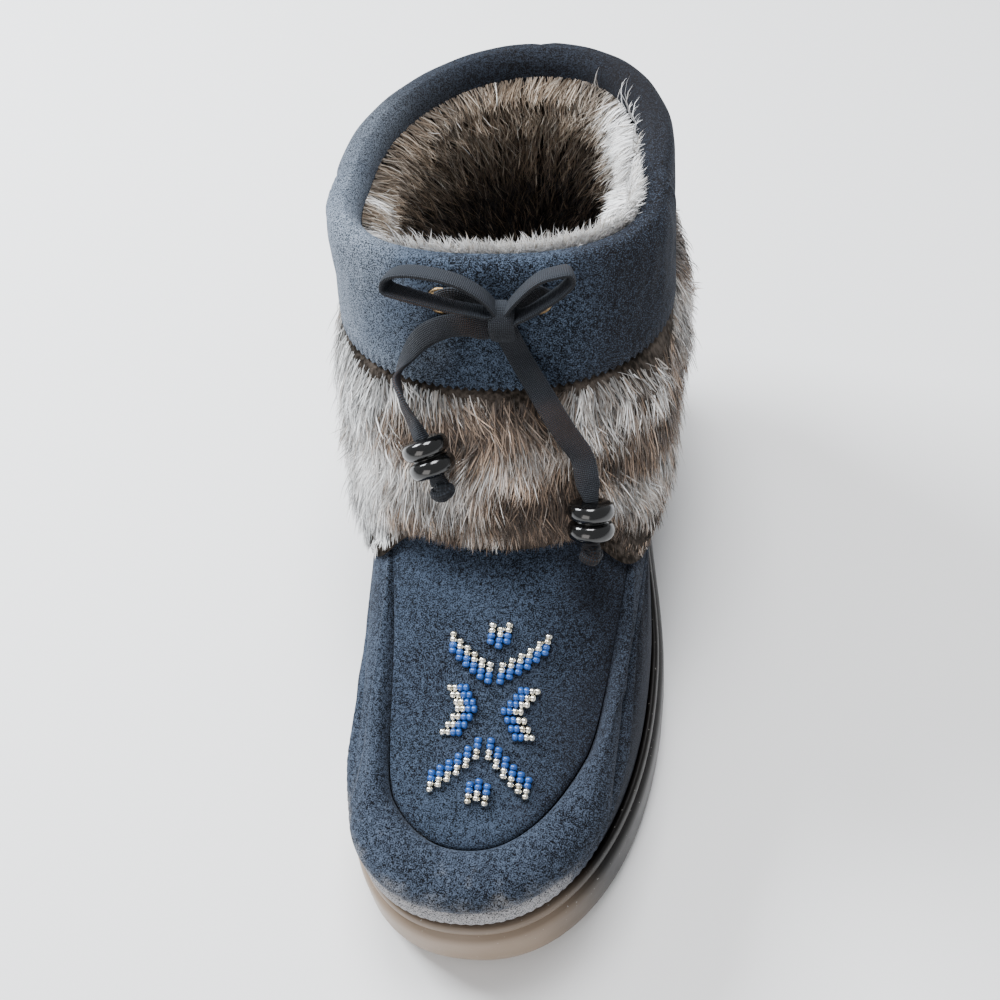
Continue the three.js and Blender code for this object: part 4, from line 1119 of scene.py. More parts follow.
@dataclass
class HairCoat:
    """Hairs drawn as tapering blades that leave a surface at one angle and bend to another."""

    name: str
    finish: Fur
    slot: str
    length: float
    width: float
    lift: float = 0.75
    lay: float = 0.15
    clump: float = 0.7
    contrast: float = 0.3
    rows: tuple[float, ...] = (0.0, 0.38, 0.75)

    def grow(
        self,
        roots: Array,
        fall: Array,
        outward: Array,
        gather: Array,
        tone: Array,
        seed: int,
        longer: Array,
        stand: Array,
    ) -> None:
        """Builds the blades as one mesh.

        The middle line is root + L (d0 (t - t^2/2) + d1 t^2/2), where d0 leaves at the lift angle and d1 at
        the lay angle. The width falls as (1 - t)^0.6, and tips draw towards their clump's middle.

        Args:
            roots: Where the hairs start.
            fall: Direction along the surface in which they lie.
            outward: Surface normal at each root.
            gather: From each root to the middle of its clump.
            tone: Place in the row of tones, 0 to 1.
            seed: Seed of the chance in lengths, angles and colours.
            longer: Factor on each hair's length.
            stand: Factor on the angle at which each hair leaves.
        """
        rng = np.random.default_rng(seed)
        count = len(roots)
        side = unit(np.cross(fall, outward))
        lift = (self.lift * stand + rng.normal(0, 0.16, count))[:, None]
        lay = (self.lay + rng.normal(0, 0.14, count))[:, None]
        sweep = rng.normal(0, 0.2, (count, 1))
        start = unit(fall * np.cos(lift) + outward * np.sin(lift) + side * sweep)
        veer = sweep + rng.normal(0, 0.22, (count, 1))
        end = unit(fall * np.cos(lay) + outward * np.sin(lay) + side * veer)
        length = (self.length * longer * rng.uniform(0.7, 1.15, count))[:, None]
        roll = rng.normal(0, 0.6, (count, 1))
        flat = unit(np.cross(start + end, outward))
        broad = unit(flat * np.cos(roll) + outward * np.sin(roll))
        width = self.width * rng.uniform(0.7, 1.3, (count, 1))
        points = []
        for t in (*self.rows, 1.0):
            bend = start * (t - t * t / 2) + end * (t * t / 2)
            middle = roots + length * bend + gather * self.clump * t**1.5
            half = broad * width * 0.5 * (1 - t) ** 0.6
            points += [middle - half, middle + half] if t < 1 else [middle]
        block = np.stack(points, axis=1)
        size = block.shape[1]
        base = (np.arange(count) * size)[:, None]
        k = len(self.rows)
        ladder = [base + np.array([[2 * i, 2 * i + 1, 2 * i + 3, 2 * i + 2]]) for i in range(k - 1)]
        tip = base + np.array([[2 * k - 2, 2 * k - 1, 2 * k]])
        faces = [np.concatenate(ladder), tip]
        piece = add_piece(self.name, block, faces, self.finish.material(), closed=False)
        t = np.array([*np.repeat(self.rows, 2), 1.0])
        lock = (roots + gather) @ [1.7, 2.9, 4.1]
        light = np.exp(rng.normal(0, self.contrast, count) + self.contrast * 1.8 * np.sin(lock * 2.3))
        # Darker towards the root: partly the hairs' own banding, partly painted shade deep in the pile.
        shade = lerp(self.finish.root, self.finish.tip, t**0.8)[None, :, None] * light[:, None, None]
        colour = self.finish.blend(np.clip(tone + rng.normal(0, 0.16, count), 0, 1))[:, None] * shade
        set_colour(piece, "Pelt", np.clip(colour, 0.01, 0.95).reshape(-1, 3))
        grid = int(math.ceil(math.sqrt(count)))
        cell = np.stack([np.arange(count) % grid, np.arange(count) // grid], axis=-1)[:, None]
        inside = np.stack([np.array([*np.tile([0.15, 0.85], k), 0.5]), 0.1 + 0.8 * t], axis=-1)[None]
        set_uv(piece, "OFBake", ((cell + inside) / grid).reshape(-1, 2))


@dataclass
class FurCuff:
    """Deep fur cuff between the apron and the collar."""

    hairs: int = 20500
    parts: int = 3
    depth: float = 7.5
    edge: float = 4.0
    clumps_round: int = 110
    clumps_up: int = 8
    root_depth: float = 0.82
    count: int = 300

    def depth_at(self, way: Array, share: Array) -> Array:
        """Thickness of the wool: full in the middle, thin at both edges, with soft lumps."""
        lumps = ripple(way * 11, share * 1.6, 33) * 1.1 * (1 - self.closing(way))
        crown = np.clip(np.sin(math.pi * np.clip(share, 0, 1)), 0, 1) ** 0.6
        return lerp(self.edge, self.depth + lumps, crown)

    def tone_at(self, way: Array, share: Array) -> Array:
        """Place in the row of tones: silver on the inner side as painted light, browner in the middle and
        outer front, darker in streaks along the lower edge away from the inner side as painted shade.
        """
        # Painted light: the inner side is paled towards silver as if lit from that side.
        inner = ease(way, 0.555, 0.64)
        brown = 0.6 * ease(ripple(way * 7 + 0.2, share * 1.5, 61), -0.4, 0.8)
        warm = 0.32 * np.exp(-(((way - 0.455) / 0.035) ** 2)) * np.exp(-(((share - 0.45) / 0.3) ** 2))
        streaks = ease(ripple(way * 24, share, 67), -0.9, 0.5)
        # Painted shade: darker streaks along the cuff's lower edge, between the tufts.
        below = 0.7 * (1 - ease(share, 0.0, 0.36)) * (1 - inner) * streaks
        tone = 0.34 + brown * (1 - 0.7 * inner) + warm + below - 0.36 * inner
        back = 0.34 + 0.2 * ripple(way * 0, share * 1.5, 61)
        return np.clip(lerp(tone, back, self.closing(way)), 0, 1)

    def closing(self, way: Array) -> Array:
        """1 at the middle of the back, where the way round ends and starts again, 0 away from it."""
        return ease(np.abs(way - 0.5), 0.38, 0.5)

    def build(self) -> None:
        """Closed wool body that follows the cuff, then parts of long hair rooted on it."""
        ways = stations(self.count)
        top = CUT.collar_low - 0.008
        low = CUT.cuff(ways)
        share = np.linspace(0, 1, 22)[None, :]
        up = lerp(low[:, None], np.full((self.count, 1), top), share)
        outer = np.stack([up, CUT.seat + self.depth_at(ways[:, None], share)], axis=-1)
        inner = np.stack([up[:, ::-2], np.full((self.count, 11), CUT.seat + 1.9)], axis=-1)
        inner[..., 1] += ease(0.62 - from_toe(ways), 0.0, 0.2)[:, None]
        outline = np.concatenate([outer, inner], axis=1)
        faces = [quads(*outline.shape[:2], True, True)]
        add_piece("fur_wool", swept(ways, outline), faces, CUFF_WOOL, ("fur_cuff",))
        for part in range(self.parts):
            self.comb(part, top)

    def comb(self, part: int, top: float) -> None:
        """One part of the hair: roots spread over the wool, falling down the boot in wandering clumps."""
        rng = np.random.default_rng(SEED + part)
        way = rng.uniform(0, 1, self.hairs)
        share = rng.uniform(0, 1, self.hairs) ** 0.9
        low = CUT.cuff(way)
        up = lerp(low + 0.022, top - 0.004, share)
        roots = FORM.off(way, up, CUT.seat + self.depth_at(way, share) * self.root_depth)
        outward = FORM.normal(way, up)
        down = -unit(FORM.rise(way, up, 0.01))
        around = np.cross(down, outward)
        wander = (ripple(way * 13, share * 2.2, 77) * (1 - self.closing(way)))[:, None] * 0.42
        fall = unit(down + around * wander)
        cell_way = cell(way, self.clumps_round)
        shift = 3 * np.sin(cell_way * 70)
        cell_share = (np.floor(share * self.clumps_up + shift) - shift + 0.5) / self.clumps_up
        cell_share = np.clip(cell_share, 0, 1)
        cell_up = lerp(CUT.cuff(cell_way) + 0.012, top - 0.004, cell_share)
        cell_depth = CUT.seat + self.depth_at(cell_way, cell_share) * self.root_depth
        middle = FORM.off(cell_way, cell_up, cell_depth)
        outer, inner = (np.exp(-(((way - flank) / 0.11) ** 2)) for flank in (0.3, 0.7))
        longer = lerp(np.full(self.hairs, 0.3), 1.0, ease(share, 0.0, 0.4))
        longer = longer * lerp(1.0, 0.8, ease(share, 0.85, 1)) * (1 - 0.25 * outer)
        stand = 1 - 0.7 * outer - 0.3 * inner
        tone = self.tone_at(way, share)
        coat = HairCoat(f"fur_hair_{part + 1}", CUFF_FUR, "fur_cuff", length=17.0, width=0.54)
        coat.grow(roots, fall, outward, middle - roots, tone, SEED + 40 + part, longer, stand)


@dataclass
class Collar:
    """Padded suede collar with a pinked lower edge, a thick rolled rim and a seam at the back."""

    facing: float = 3.0
    facing_depth: float = 13.0
    pitch: float = 2.5
    tooth: float = 1.5
    half_round: float = 170.0
    seam_width: float = 1.3
    count: int = 860

    def build(self) -> None:
        """Rounded closed section from the pinked edge over the rim to the facing, with soft folds."""
        ways = stations(self.count)
        high = 1 / FORM.stretch(ways, np.full(self.count, 0.9))
        run = FORM.arc(np.append(ways, 1.0), np.full(self.count + 1, CUT.collar_low))
        pitch = run[-1] / round(run[-1] / self.pitch)
        low = CUT.collar_low - 0.014 + zigzag(run[:-1], pitch) * self.tooth * high
        seat, wall, thick = CUT.seat, CUT.wall, CUT.collar_thickness
        edge = [(low, seat + 3.6), (low, seat + 5.2)]
        padding = [
            (CUT.collar_low + 3 * high, seat + 5.0),
            (0.86, seat + thick),
            (0.9, seat + thick),
            (0.94, seat + thick),
            (0.98, seat + thick * 0.82),
            (1.0, seat + thick * 0.25),
            (1.0, -wall * 0.5),
            (1.0, -wall),
            (0.98, -wall - seat - self.facing * 0.8),
            (0.945, -wall - seat - self.facing),
        ]
        deep = 1 - self.facing_depth * high
        facing = [(deep, -wall - seat - self.facing * 0.6), (deep, -wall - seat), (0.975, -wall - seat)]
        sharp = outline_of(*edge, *padding, *facing, (0.975, seat), (0.86, seat))
        fine = np.concatenate([sharp[:, :2], self.smoothed(sharp[:, 2:12]), sharp[:, 12:]], axis=1)
        up, out = fine[..., 0], fine[..., 1].copy()
        face = ease(up, CUT.collar_low + 0.02, CUT.collar_low + 0.08) * (out > 0)
        away = from_toe(ways)[:, None]
        way = ways[:, None]
        gather = 0.55 * np.sin(way * 240) * np.exp(-((away / 0.13) ** 2)) * ease(up, 0.86, 0.93)
        billow = 0.75 * ripple(way * 8, up * 3.5, 12) + 0.3 * ripple(way * 26, up * 6, 15)
        seam = 0.9 * np.exp(-(((1 - away) * self.half_round / self.seam_width) ** 2))
        out = out + face * (billow * 0.6 + gather - seam)
        faces = [quads(*up.shape, True, True)]
        piece = add_piece("padded_collar", FORM.off(way, up, out), faces, SUEDE, ("collar",))

    def smoothed(self, line: Array) -> Array:
        """Open outlines with their inner corners cut twice, at 1/4 and 3/4 of each side, ends kept."""
        for _ in range(2):
            near, far = line[:, :-1], line[:, 1:]
            pair = np.stack([0.75 * near + 0.25 * far, 0.25 * near + 0.75 * far], axis=2)
            line = np.concatenate([line[:, :1], pair.reshape(len(line), -1, 2), line[:, -1:]], axis=1)
        return line


@dataclass
class Lining:
    """Fleece-backed fur inside the shaft and foot, and the insole's pile."""

    count: int = 240
    hairs: int = 20500
    pile: float = 1.3
    clumps_round: int = 70
    clumps_up: int = 24
    tuft_depth: float = 4.0
    tuft_clumps: int = 150
    pile_height: float = 3.6

    def surface(self, way: Array, up: Array) -> Array:
        """Distance off the last of the lining's face: inside the wall, fuller near the outer side's rim."""
        full = 2.6 * np.exp(-(((way - 0.26) / 0.11) ** 2)) * ease(up, 0.6, 0.82)
        return lerp(-CUT.wall - self.pile, -CUT.wall - 4.6, ease(up, 0.84, 0.9)) - full

    def tone_at(self, way: Array, up: Array) -> Array:
        """White as painted light on the outer side, along the front rim and at two spots of the inner rim;
        tan at the back and inner side and dark deep down, as painted shade.
        """
        outer = ease(way, 0.04, 0.09) * (1 - ease(way, 0.5, 0.56))
        front_rim = np.exp(-(((way - 0.5) / 0.11) ** 2))
        inner_rim = np.exp(-(((way - 0.68) / 0.04) ** 2)) + np.exp(-(((way - 0.79) / 0.02) ** 2))
        # Painted light: the lining turns white where it faces the light.
        lit_share = np.clip(outer + front_rim + 0.9 * inner_rim * ease(up, 0.8, 0.86), 0, 1)
        # Painted shade: tan elsewhere, and darker deep down.
        return np.clip(0.62 - 0.6 * lit_share + 0.7 * (1 - ease(up, 0.5, 0.85)), 0, 1)

    def build(self) -> None:
        """Wool layer from the insole to the facing, then short fur that leans up and inwards."""
        ways = stations(self.count)
        rows = np.concatenate([np.linspace(0.06, 0.8, 22), np.linspace(0.82, 0.915, 8)])
        up = np.broadcast_to(rows, (self.count, len(rows)))
        face = self.surface(ways[:, None], up)
        back = np.where(up > 0.86, -CUT.wall - 4.2, -CUT.wall - 0.2)[:, ::-1]
        outline = np.concatenate([np.stack([up, face], -1), np.stack([up[:, ::-1], back], -1)], axis=1)
        faces = [quads(*outline.shape[:2], True, True)]
        add_piece("lining_wool", swept(ways, outline), faces, LINING_WOOL)
        for part in range(2):
            self.comb(part)
        self.rim_tufts()
        self.insole()

    def comb(self, part: int) -> None:
        """One part of the lining's fur, denser towards the rim."""
        rng = np.random.default_rng(SEED + 500 + part)
        way = rng.uniform(0, 1, self.hairs)
        up = 0.95 - 0.545 * rng.uniform(0, 1, self.hairs) ** 1.5
        roots = FORM.off(way, up, self.surface(way, up) + 0.4)
        outward = -FORM.normal(way, up)
        rise = unit(FORM.rise(way, up, 0.01))
        around = np.cross(rise, outward)
        wander = ripple(way * 17, up * 9, 91)[:, None] * 0.5
        fall = unit(-rise + around * wander)
        cell_way, cell_up = cell(way, self.clumps_round), cell(up, self.clumps_up)
        middle = FORM.off(cell_way, cell_up, self.surface(cell_way, cell_up) + 0.4)
        outer_side = np.exp(-(((way - 0.26) / 0.11) ** 2))
        longer = lerp(1.0, 0.85, ease(up, 0.86, 0.94)) * (1 + 0.25 * outer_side)
        tone, stand = self.tone_at(way, up), np.ones(self.hairs)
        style = {"length": 10.5, "width": 0.5, "lift": 1.25, "lay": 0.75, "clump": 0.45, "contrast": 0.2}
        coat = HairCoat(f"lining_hair_{part + 1}", LINING_FUR, "upper", **style)
        coat.grow(roots, fall, outward, middle - roots, tone, SEED + 540 + part, longer, stand)

    def rim_tufts(self) -> None:
        """White tufts that stand up out of the mouth and lean over the front rim and the outer side's."""
        rng = np.random.default_rng(SEED + 600)
        spots = ((0.47, 0.05, 8500), (0.39, 0.035, 2600), (0.26, 0.06, 2600))
        way = np.concatenate([rng.normal(middle, spread, count) for middle, spread, count in spots])
        up = rng.uniform(0.925, 0.965, len(way))
        level = np.full(len(way), -CUT.wall - self.tuft_depth)
        roots = FORM.off(way, up, level)
        inward = -FORM.normal(way, up)
        rise = unit(FORM.rise(way, up, 0.01))
        around = np.cross(rise, inward)
        fall = unit(rise + around * ripple(way * 60, up * 9, 31)[:, None] * 0.5)
        middle = FORM.off(cell(way, self.tuft_clumps), np.full(len(way), 0.945), level)
        style = {"length": 14.0, "width": 0.6, "lift": 0.6, "lay": -0.8, "clump": 0.5, "contrast": 0.12}
        coat = HairCoat("lining_tufts", LINING_FUR, "upper", **style)
        longer, ones = rng.uniform(0.6, 1.1, len(way)), np.ones(len(way))
        # The tufts take the white end of the tones: the same painted light as the lining's lit rim.
        coat.grow(roots, fall, inward, middle - roots, ones * 0.02, SEED + 610, longer, ones)

    def insole(self) -> None:
        """Pile insole: the last's outline at the bed, its top face raised in soft tufts."""
        across, half = 30, self.count // 2
        ways = stations(self.count)
        plan = unit(FORM.normal(ways, np.zeros(self.count)) * np.array([1, 1, 0]))
        grid = straight_across(FORM.point(ways, 0) - plan * (CUT.wall + FORM.gap), across)
        rim = np.minimum(np.arange(across + 1), across - np.arange(across + 1)) / across
        tuft = ripple(grid[..., 0] / 9, grid[..., 1] / 9, 8) * 0.35 * ease(rim, 0, 0.1)[None, :]
        top, bottom = grid.copy(), grid.copy()
        top[..., 2] = FORM.bed(grid[..., 1]) + FORM.gap + self.pile_height + tuft
        bottom[..., 2] = FORM.bed(grid[..., 1]) + FORM.gap
        size = grid.shape[0] * grid.shape[1]
        face = quads(half + 1, across + 1, False, False)
        near, far = np.arange(half + 1) * (across + 1), (np.arange(half, -1, -1) + 1) * (across + 1) - 1
        order = np.concatenate([near, far])
        wall = np.stack([order, np.roll(order, -1), np.roll(order, -1) + size, order + size], axis=-1)
        points = np.concatenate([top.reshape(-1, 3), bottom.reshape(-1, 3)])
        faces = [face, face[:, ::-1] + size, wall[:, ::-1]]
        add_piece("pile_insole", points, faces, LINING_WOOL, ("insole",), weld=0.01)


@dataclass
class Eyelets:
    """Two flanged brass rings in the front of the collar."""

    radius: float = 4.6
    bore: float = 2.5
    flange: float = 1.1
    spread: float = 28.0
    shift: float = 1.0
    up: float = 0.925
    sides: int = 48

    def seat(self, x: float) -> tuple[Array, Array]:
        """Point on the collar's outer face at a distance across, and the direction out of it."""
        near = np.linspace(0.38, 0.62, 241)
        way = near[np.argmin(np.abs(FORM.point(near, self.up)[:, 0] - x))]
        normal = FORM.normal(way, self.up)
        return FORM.point(way, self.up) + normal * (CUT.seat + CUT.collar_thickness), normal

    def build(self) -> None:
        """Rounded ring profile turned about the direction out of the collar."""
        lip = FORM.gap + self.flange
        barrel = self.radius * 0.75
        profile = [
            (self.bore, -2.9),
            (barrel, -2.9),
            (barrel, 0.1),
            (self.radius - 0.1, 0.1),
            (self.radius, 0.35),
            (self.radius - 0.15, lip * 0.7),
            (self.radius - 0.7, lip),
            (self.radius - 1.4, lip * 0.98),
            (self.bore + 0.3, lip * 0.7),
            (self.bore, lip * 0.4),
        ]
        for name, side in (("inner", -1), ("outer", 1)):
            point, normal = self.seat(self.shift + side * self.spread / 2)
            points = turned(np.array(profile), point, normal, self.sides)
            faces = [quads(self.sides, len(profile), True, True)]
            add_piece(f"brass_eyelet_{name}", points, faces, BRASS, (f"eyelet_{name}",))


def turned(profile: Array, point: Array, axis: Array, sides: int) -> Array:
    """Closed profile of (radius, height) turned about an axis through a point."""
    side = unit(np.cross(axis, [0.3, 0.9, 0.1]))
    other = np.cross(axis, side)
    turn = turns(sides)
    ring = np.cos(turn)[:, None, None] * side + np.sin(turn)[:, None, None] * other
    return (point + ring * profile[None, :, :1] + axis * profile[None, :, 1:]).reshape(-1, 3)


def spline(points: Array, shares: Array) -> Array:
    """Centripetal cubic through points; shares 0 to 1 run evenly from point to point.

    Each span is the Hermite cubic whose end slopes come from the three chords round it, each chord
    weighted by the square root of its length.
    """
    full = np.vstack([2 * points[:1] - points[1:2], points, 2 * points[-1:] - points[-2:-1]])
    run = np.clip(shares, 0, 1) * (len(points) - 1)
    i = np.minimum(run.astype(int), len(points) - 2)
    k = (run - i)[:, None]
    p0, p1, p2, p3 = (full[i + n] for n in range(4))
    chords = ((p0, p1), (p1, p2), (p2, p3))
    roots = [np.sqrt(np.linalg.norm(b - a, axis=1)) for a, b in chords]
    d0, d1, d2 = (np.maximum(root, 1e-3)[:, None] for root in roots)
    m1 = ((p1 - p0) / d0 - (p2 - p0) / (d0 + d1) + (p2 - p1) / d1) * d1
    m2 = ((p2 - p1) / d1 - (p3 - p1) / (d1 + d2) + (p3 - p2) / d2) * d1
    square, cube = k * k, k * k * k
    return (
        p1 * (2 * cube - 3 * square + 1)
        + m1 * (cube - 2 * square + k)
        + p2 * (3 * square - 2 * cube)
        + m2 * (cube - square)
    )


def on_edge(*places: Place) -> list[tuple[float, ...]]:
    """Rows for a loop of the bow, where the lace stands on its edge, 7.9 mm off what is under it."""
    return [(way, up, 7.9, 90) for way, up in places]


@dataclass
class Drawstring:
    """Flat woven lace from each eyelet into the bow: run, loop, tail, bead and end knot.

    Rows of the tables are way, up, millimetres proud of what lies under it, and tilt in degrees.
    """

    width: float = 7.5
    thickness: float = 1.8
    knot: tuple[float, float] = (0.4882, 0.905)
    knot_half: tuple[float, float] = (6.4, 5.6)
    knot_breadth: float = 8.0
    bead_radius: float = 7.5
    bead_half: float = 6.25
    bead_waist: float = 5.0
    bead_bore: float = 2.4
    bead_sides: int = 56
    stop_drop: float = 5.2
    crossing_proud: float = 5.3
    knot_proud: float = 6.2
    samples: int = 420
    sections: int = 240
    corners: int = 20
    runs: dict = field(
        default_factory=lambda: {
            "inner": [(0.521, 0.938, 2.7, 0), (0.509, 0.928, 2.7, 0), (0.498, 0.916, 2.9, 0)],
            "outer": [(0.457, 0.944, 2.7, 0), (0.466, 0.931, 2.7, 0), (0.477, 0.917, 2.9, 0)],
        }
    )
    loops: dict = field(
        default_factory=lambda: {
            "inner": on_edge(
                (0.496, 0.953), (0.509, 0.984), (0.53, 0.999), (0.557, 1.0), (0.571, 0.986),
                (0.573, 0.964), (0.559, 0.956), (0.536, 0.947), (0.517, 0.937), (0.4985, 0.927),
            ),
            "outer": on_edge(
                (0.477, 0.953), (0.458, 0.992), (0.444, 1.0), (0.433, 1.0),
                (0.431, 0.986), (0.438, 0.968), (0.454, 0.944), (0.474, 0.918),
            ),
        }
    )
    tails: dict = field(
        default_factory=lambda: {
            "inner": [
                (0.5, 0.888, 5.2, 0), (0.509, 0.892, 5.0, 0), (0.528, 0.883, 3.4, 8),
                (0.551, 0.856, 3.4, 25), (0.568, 0.814, 4.3, 50), (0.57, 0.788, 4.6, 60),
                (0.562, 0.762, 5.2, 50), (0.554, 0.726, 5.8, 40), (0.547, 0.703, 6.4, 30),
                (0.543, 0.689, 6.8, 20),
            ],
            "outer": [
                (0.484, 0.87, 3.2, 0), (0.476, 0.828, 1.8, 0), (0.463, 0.788, 1.5, 0),
                (0.45, 0.737, 1.5, 0), (0.438, 0.694, 1.8, 0), (0.427, 0.658, 3.2, 20),
                (0.426, 0.63, 5.6, 20), (0.425, 0.6, 6.6, 10), (0.425, 0.59, 6.8, 10),
            ],
        }
    )
    beads: dict = field(
        default_factory=lambda: {
            "inner": ((0.543, 0.689, 6.85), (0.535, 0.65, 6.85)),
            "outer": ((0.425, 0.59, 6.85), (0.424, 0.52, 6.85)),
        }
    )

    def place(self, table: Array) -> tuple[Array, Array, Array]:
        """Points on what the lace lies on, with the directions out and up there.

        Args:
            table: Rows of way, up and millimetres proud.

        Returns:
            Points, outward directions and upward directions.
        """
        way, up, proud = table[:, 0], table[:, 1], table[:, 2]
        out = FORM.normal(way, up)
        points = FORM.off(way, up, CUT.cover(way, up) + proud)
        across = unit(np.cross(FORM.point(way, up + 0.01) - FORM.point(way, up - 0.01), out))
        return points, out, np.cross(out, across)

    def threaded(self, side: str) -> tuple[Array, Array]:
        """Centre of a bead, and the direction of the lace through it."""
        a, b = self.place(np.array(self.beads[side]))[0]
        return (a + b) / 2, unit(b - a)

    def build(self) -> None:
        """Both halves of the lace, the bow's knot, the beads and the knots under them."""
        knot = self.bow_knot()
        for side in ("inner", "outer"):
            centre, along = self.threaded(side)
            bead = self.bead(side, centre, along)
            stop = self.end_knot(side, centre, along)
            self.half_lace(side, centre, along)

    def half_lace(self, side: str, centre: Array, along: Array) -> None:
        """One half of the lace as a single strip along one smooth path.

        Args:
            side: Inner or outer.
            centre: Centre of its bead.
            along: Direction through the bead.
        """
        knot = self.place(np.array([[*self.knot, self.crossing_proud]]))
        rings = Eyelets()
        eyelet, out = rings.seat(rings.shift + (-1 if side == "inner" else 1) * rings.spread / 2)
        tables = [np.array(rows[side], float) for rows in (self.runs, self.loops, self.tails)]
        flat, edge = np.array([0.0]), np.array([90.0])
        points = [(eyelet - out * 1.5)[None], (eyelet + out * 1.2)[None]]
        outs = [out[None], out[None]]
        tilts = [flat, flat]
        for number, table in enumerate(tables):
            where, outward, _ = self.place(table)
            points += [where, knot[0]] if number < 2 else [where]
            outs += [outward, knot[1]] if number < 2 else [outward]
            tilts += [table[:, 3], edge if number == 0 else flat] if number < 2 else [table[:, 3]]
        points.append(np.stack([centre, centre + along * (self.bead_half + 3.0)]))
        outs.append(np.repeat(outs[-1][-1:], 2, axis=0))
        tilts.append(np.array([10.0, 10.0]))
        points, outs, tilts = np.concatenate(points), np.concatenate(outs), np.concatenate(tilts)
        shares = np.linspace(0, 1, self.samples)
        path = spline(points, shares)
        run = np.concatenate([[0], np.cumsum(np.linalg.norm(np.diff(path, axis=0), axis=1))])
        even = np.interp(np.linspace(0, run[-1], self.sections), run, shares)
        path, out = spline(points, even), unit(spline(outs, even))
        tilt = np.radians(np.interp(even * (len(points) - 1), np.arange(len(points)), tilts))[:, None]
        tangent = unit(np.gradient(path, axis=0))
        flat_side = unit(np.cross(tangent, out))
        breadth = unit(flat_side * np.cos(tilt) + np.cross(flat_side, tangent) * -np.sin(tilt))
        face = np.cross(tangent, breadth)
        in_bead = ease(np.linalg.norm(path - centre, axis=1), self.bead_half - 1, self.bead_half + 6)
        flat_half = np.array([[self.width / 2, self.thickness / 2]])
        sizes = lerp(np.array([[2.2, 2.2]]), flat_half, in_bead[:, None])
        turn = turns(self.corners)
        waves = ((np.cos(turn), 0.5), (np.sin(turn), 0.8))
        shape = np.stack([np.sign(wave) * np.abs(wave) ** power for wave, power in waves], -1)
        rows = (
            path[:, None]
            + breadth[:, None] * shape[None, :, :1] * sizes[:, None, :1]
            + face[:, None] * shape[None, :, 1:] * sizes[:, None, 1:]
        )
        faces = [quads(*rows.shape[:2], False, True), *end_caps(*rows.shape[:2])]
        nodes = tuple(f"lace_{part}_{side}" for part in ("run", "loop", "tail"))
        piece = add_piece(f"drawstring_{side}", rows, faces, WOVEN, nodes)
        length = np.linspace(0, run[-1], len(path))[:, None] / self.width
        self.weave(piece, shape[None, :, 0] * 0.5, length, rows.shape[:2])
        metres = path * METRE
        metres[::3].tolist() + [metres[-1].tolist()]

    def weave(self, piece: bpy.types.Object, across: Array, along: Array, size: tuple[int, int]) -> None:
        """The lace's own map, by which its weave runs: across it, and along it."""
        pair = [np.broadcast_to(value, size) for value in (across, along)]
        set_uv(piece, "Weave", np.stack(pair, -1).reshape(-1, 2))

    def bow_knot(self) -> bpy.types.Object:
        """The lace wrapped once round the crossing: a flat strip carried round a skewed ellipse."""
        point, out, up = (part[0] for part in self.place(np.array([[*self.knot, self.knot_proud]])))
        across = np.cross(up, out)
        turn = turns(72)
        high, deep = self.knot_half
        middle = np.cos(turn)[:, None] * up * (high - 0.9) + np.sin(turn)[:, None] * out * (deep - 0.9)
        middle = middle + across * np.sin(turn)[:, None] * 0.8 + across * 0.3 * np.sin(3 * turn)[:, None]
        outward = unit(np.cos(turn)[:, None] * up / high + np.sin(turn)[:, None] * out / deep)
        corner = turns(18)
        bulge = np.cos(corner) ** 2 * 0.35
        wide = (np.sign(np.cos(corner)) * np.abs(np.cos(corner)) ** 0.6) * self.knot_breadth / 2
        deep_part = np.sin(corner) * 1.0 - bulge
        strip = across * wide[None, :, None] + outward[:, None] * deep_part[None, :, None]
        rows = point + middle[:, None] + strip
        size = rows.shape[:2]
        piece = add_piece("bow_knot", rows, [quads(*size, True, True)], WOVEN, ("lace_knot",))
        self.weave(piece, wide[None] / self.width, turn[:, None] * high / self.width, size)
        return piece

    def bead(self, side: str, centre: Array, along: Array) -> bpy.types.Object:
        """Barrel bead: two rounded discs with a groove between them, turned about the lace."""
        turn = np.linspace(-math.pi / 2, math.pi / 2, 9)
        disc = self.bead_half * 0.46
        reach = self.bead_radius - self.bead_waist
        profile = [(self.bead_bore, -self.bead_half), (self.bead_waist * 0.8, -self.bead_half)]
        for middle in (-self.bead_half * 0.5, self.bead_half * 0.5):
            for angle in turn:
                out = self.bead_waist + reach * math.cos(angle) ** 0.8
                profile.append((out, middle + disc * math.sin(angle)))
        profile += [(self.bead_waist * 0.8, self.bead_half), (self.bead_bore, self.bead_half)]
        points = turned(np.array(profile), centre, along, self.bead_sides)
        faces = [quads(self.bead_sides, len(profile), True, True)]
        return add_piece(f"barrel_bead_{side}", points, faces, GLOSS_BLACK, (f"bead_{side}",))

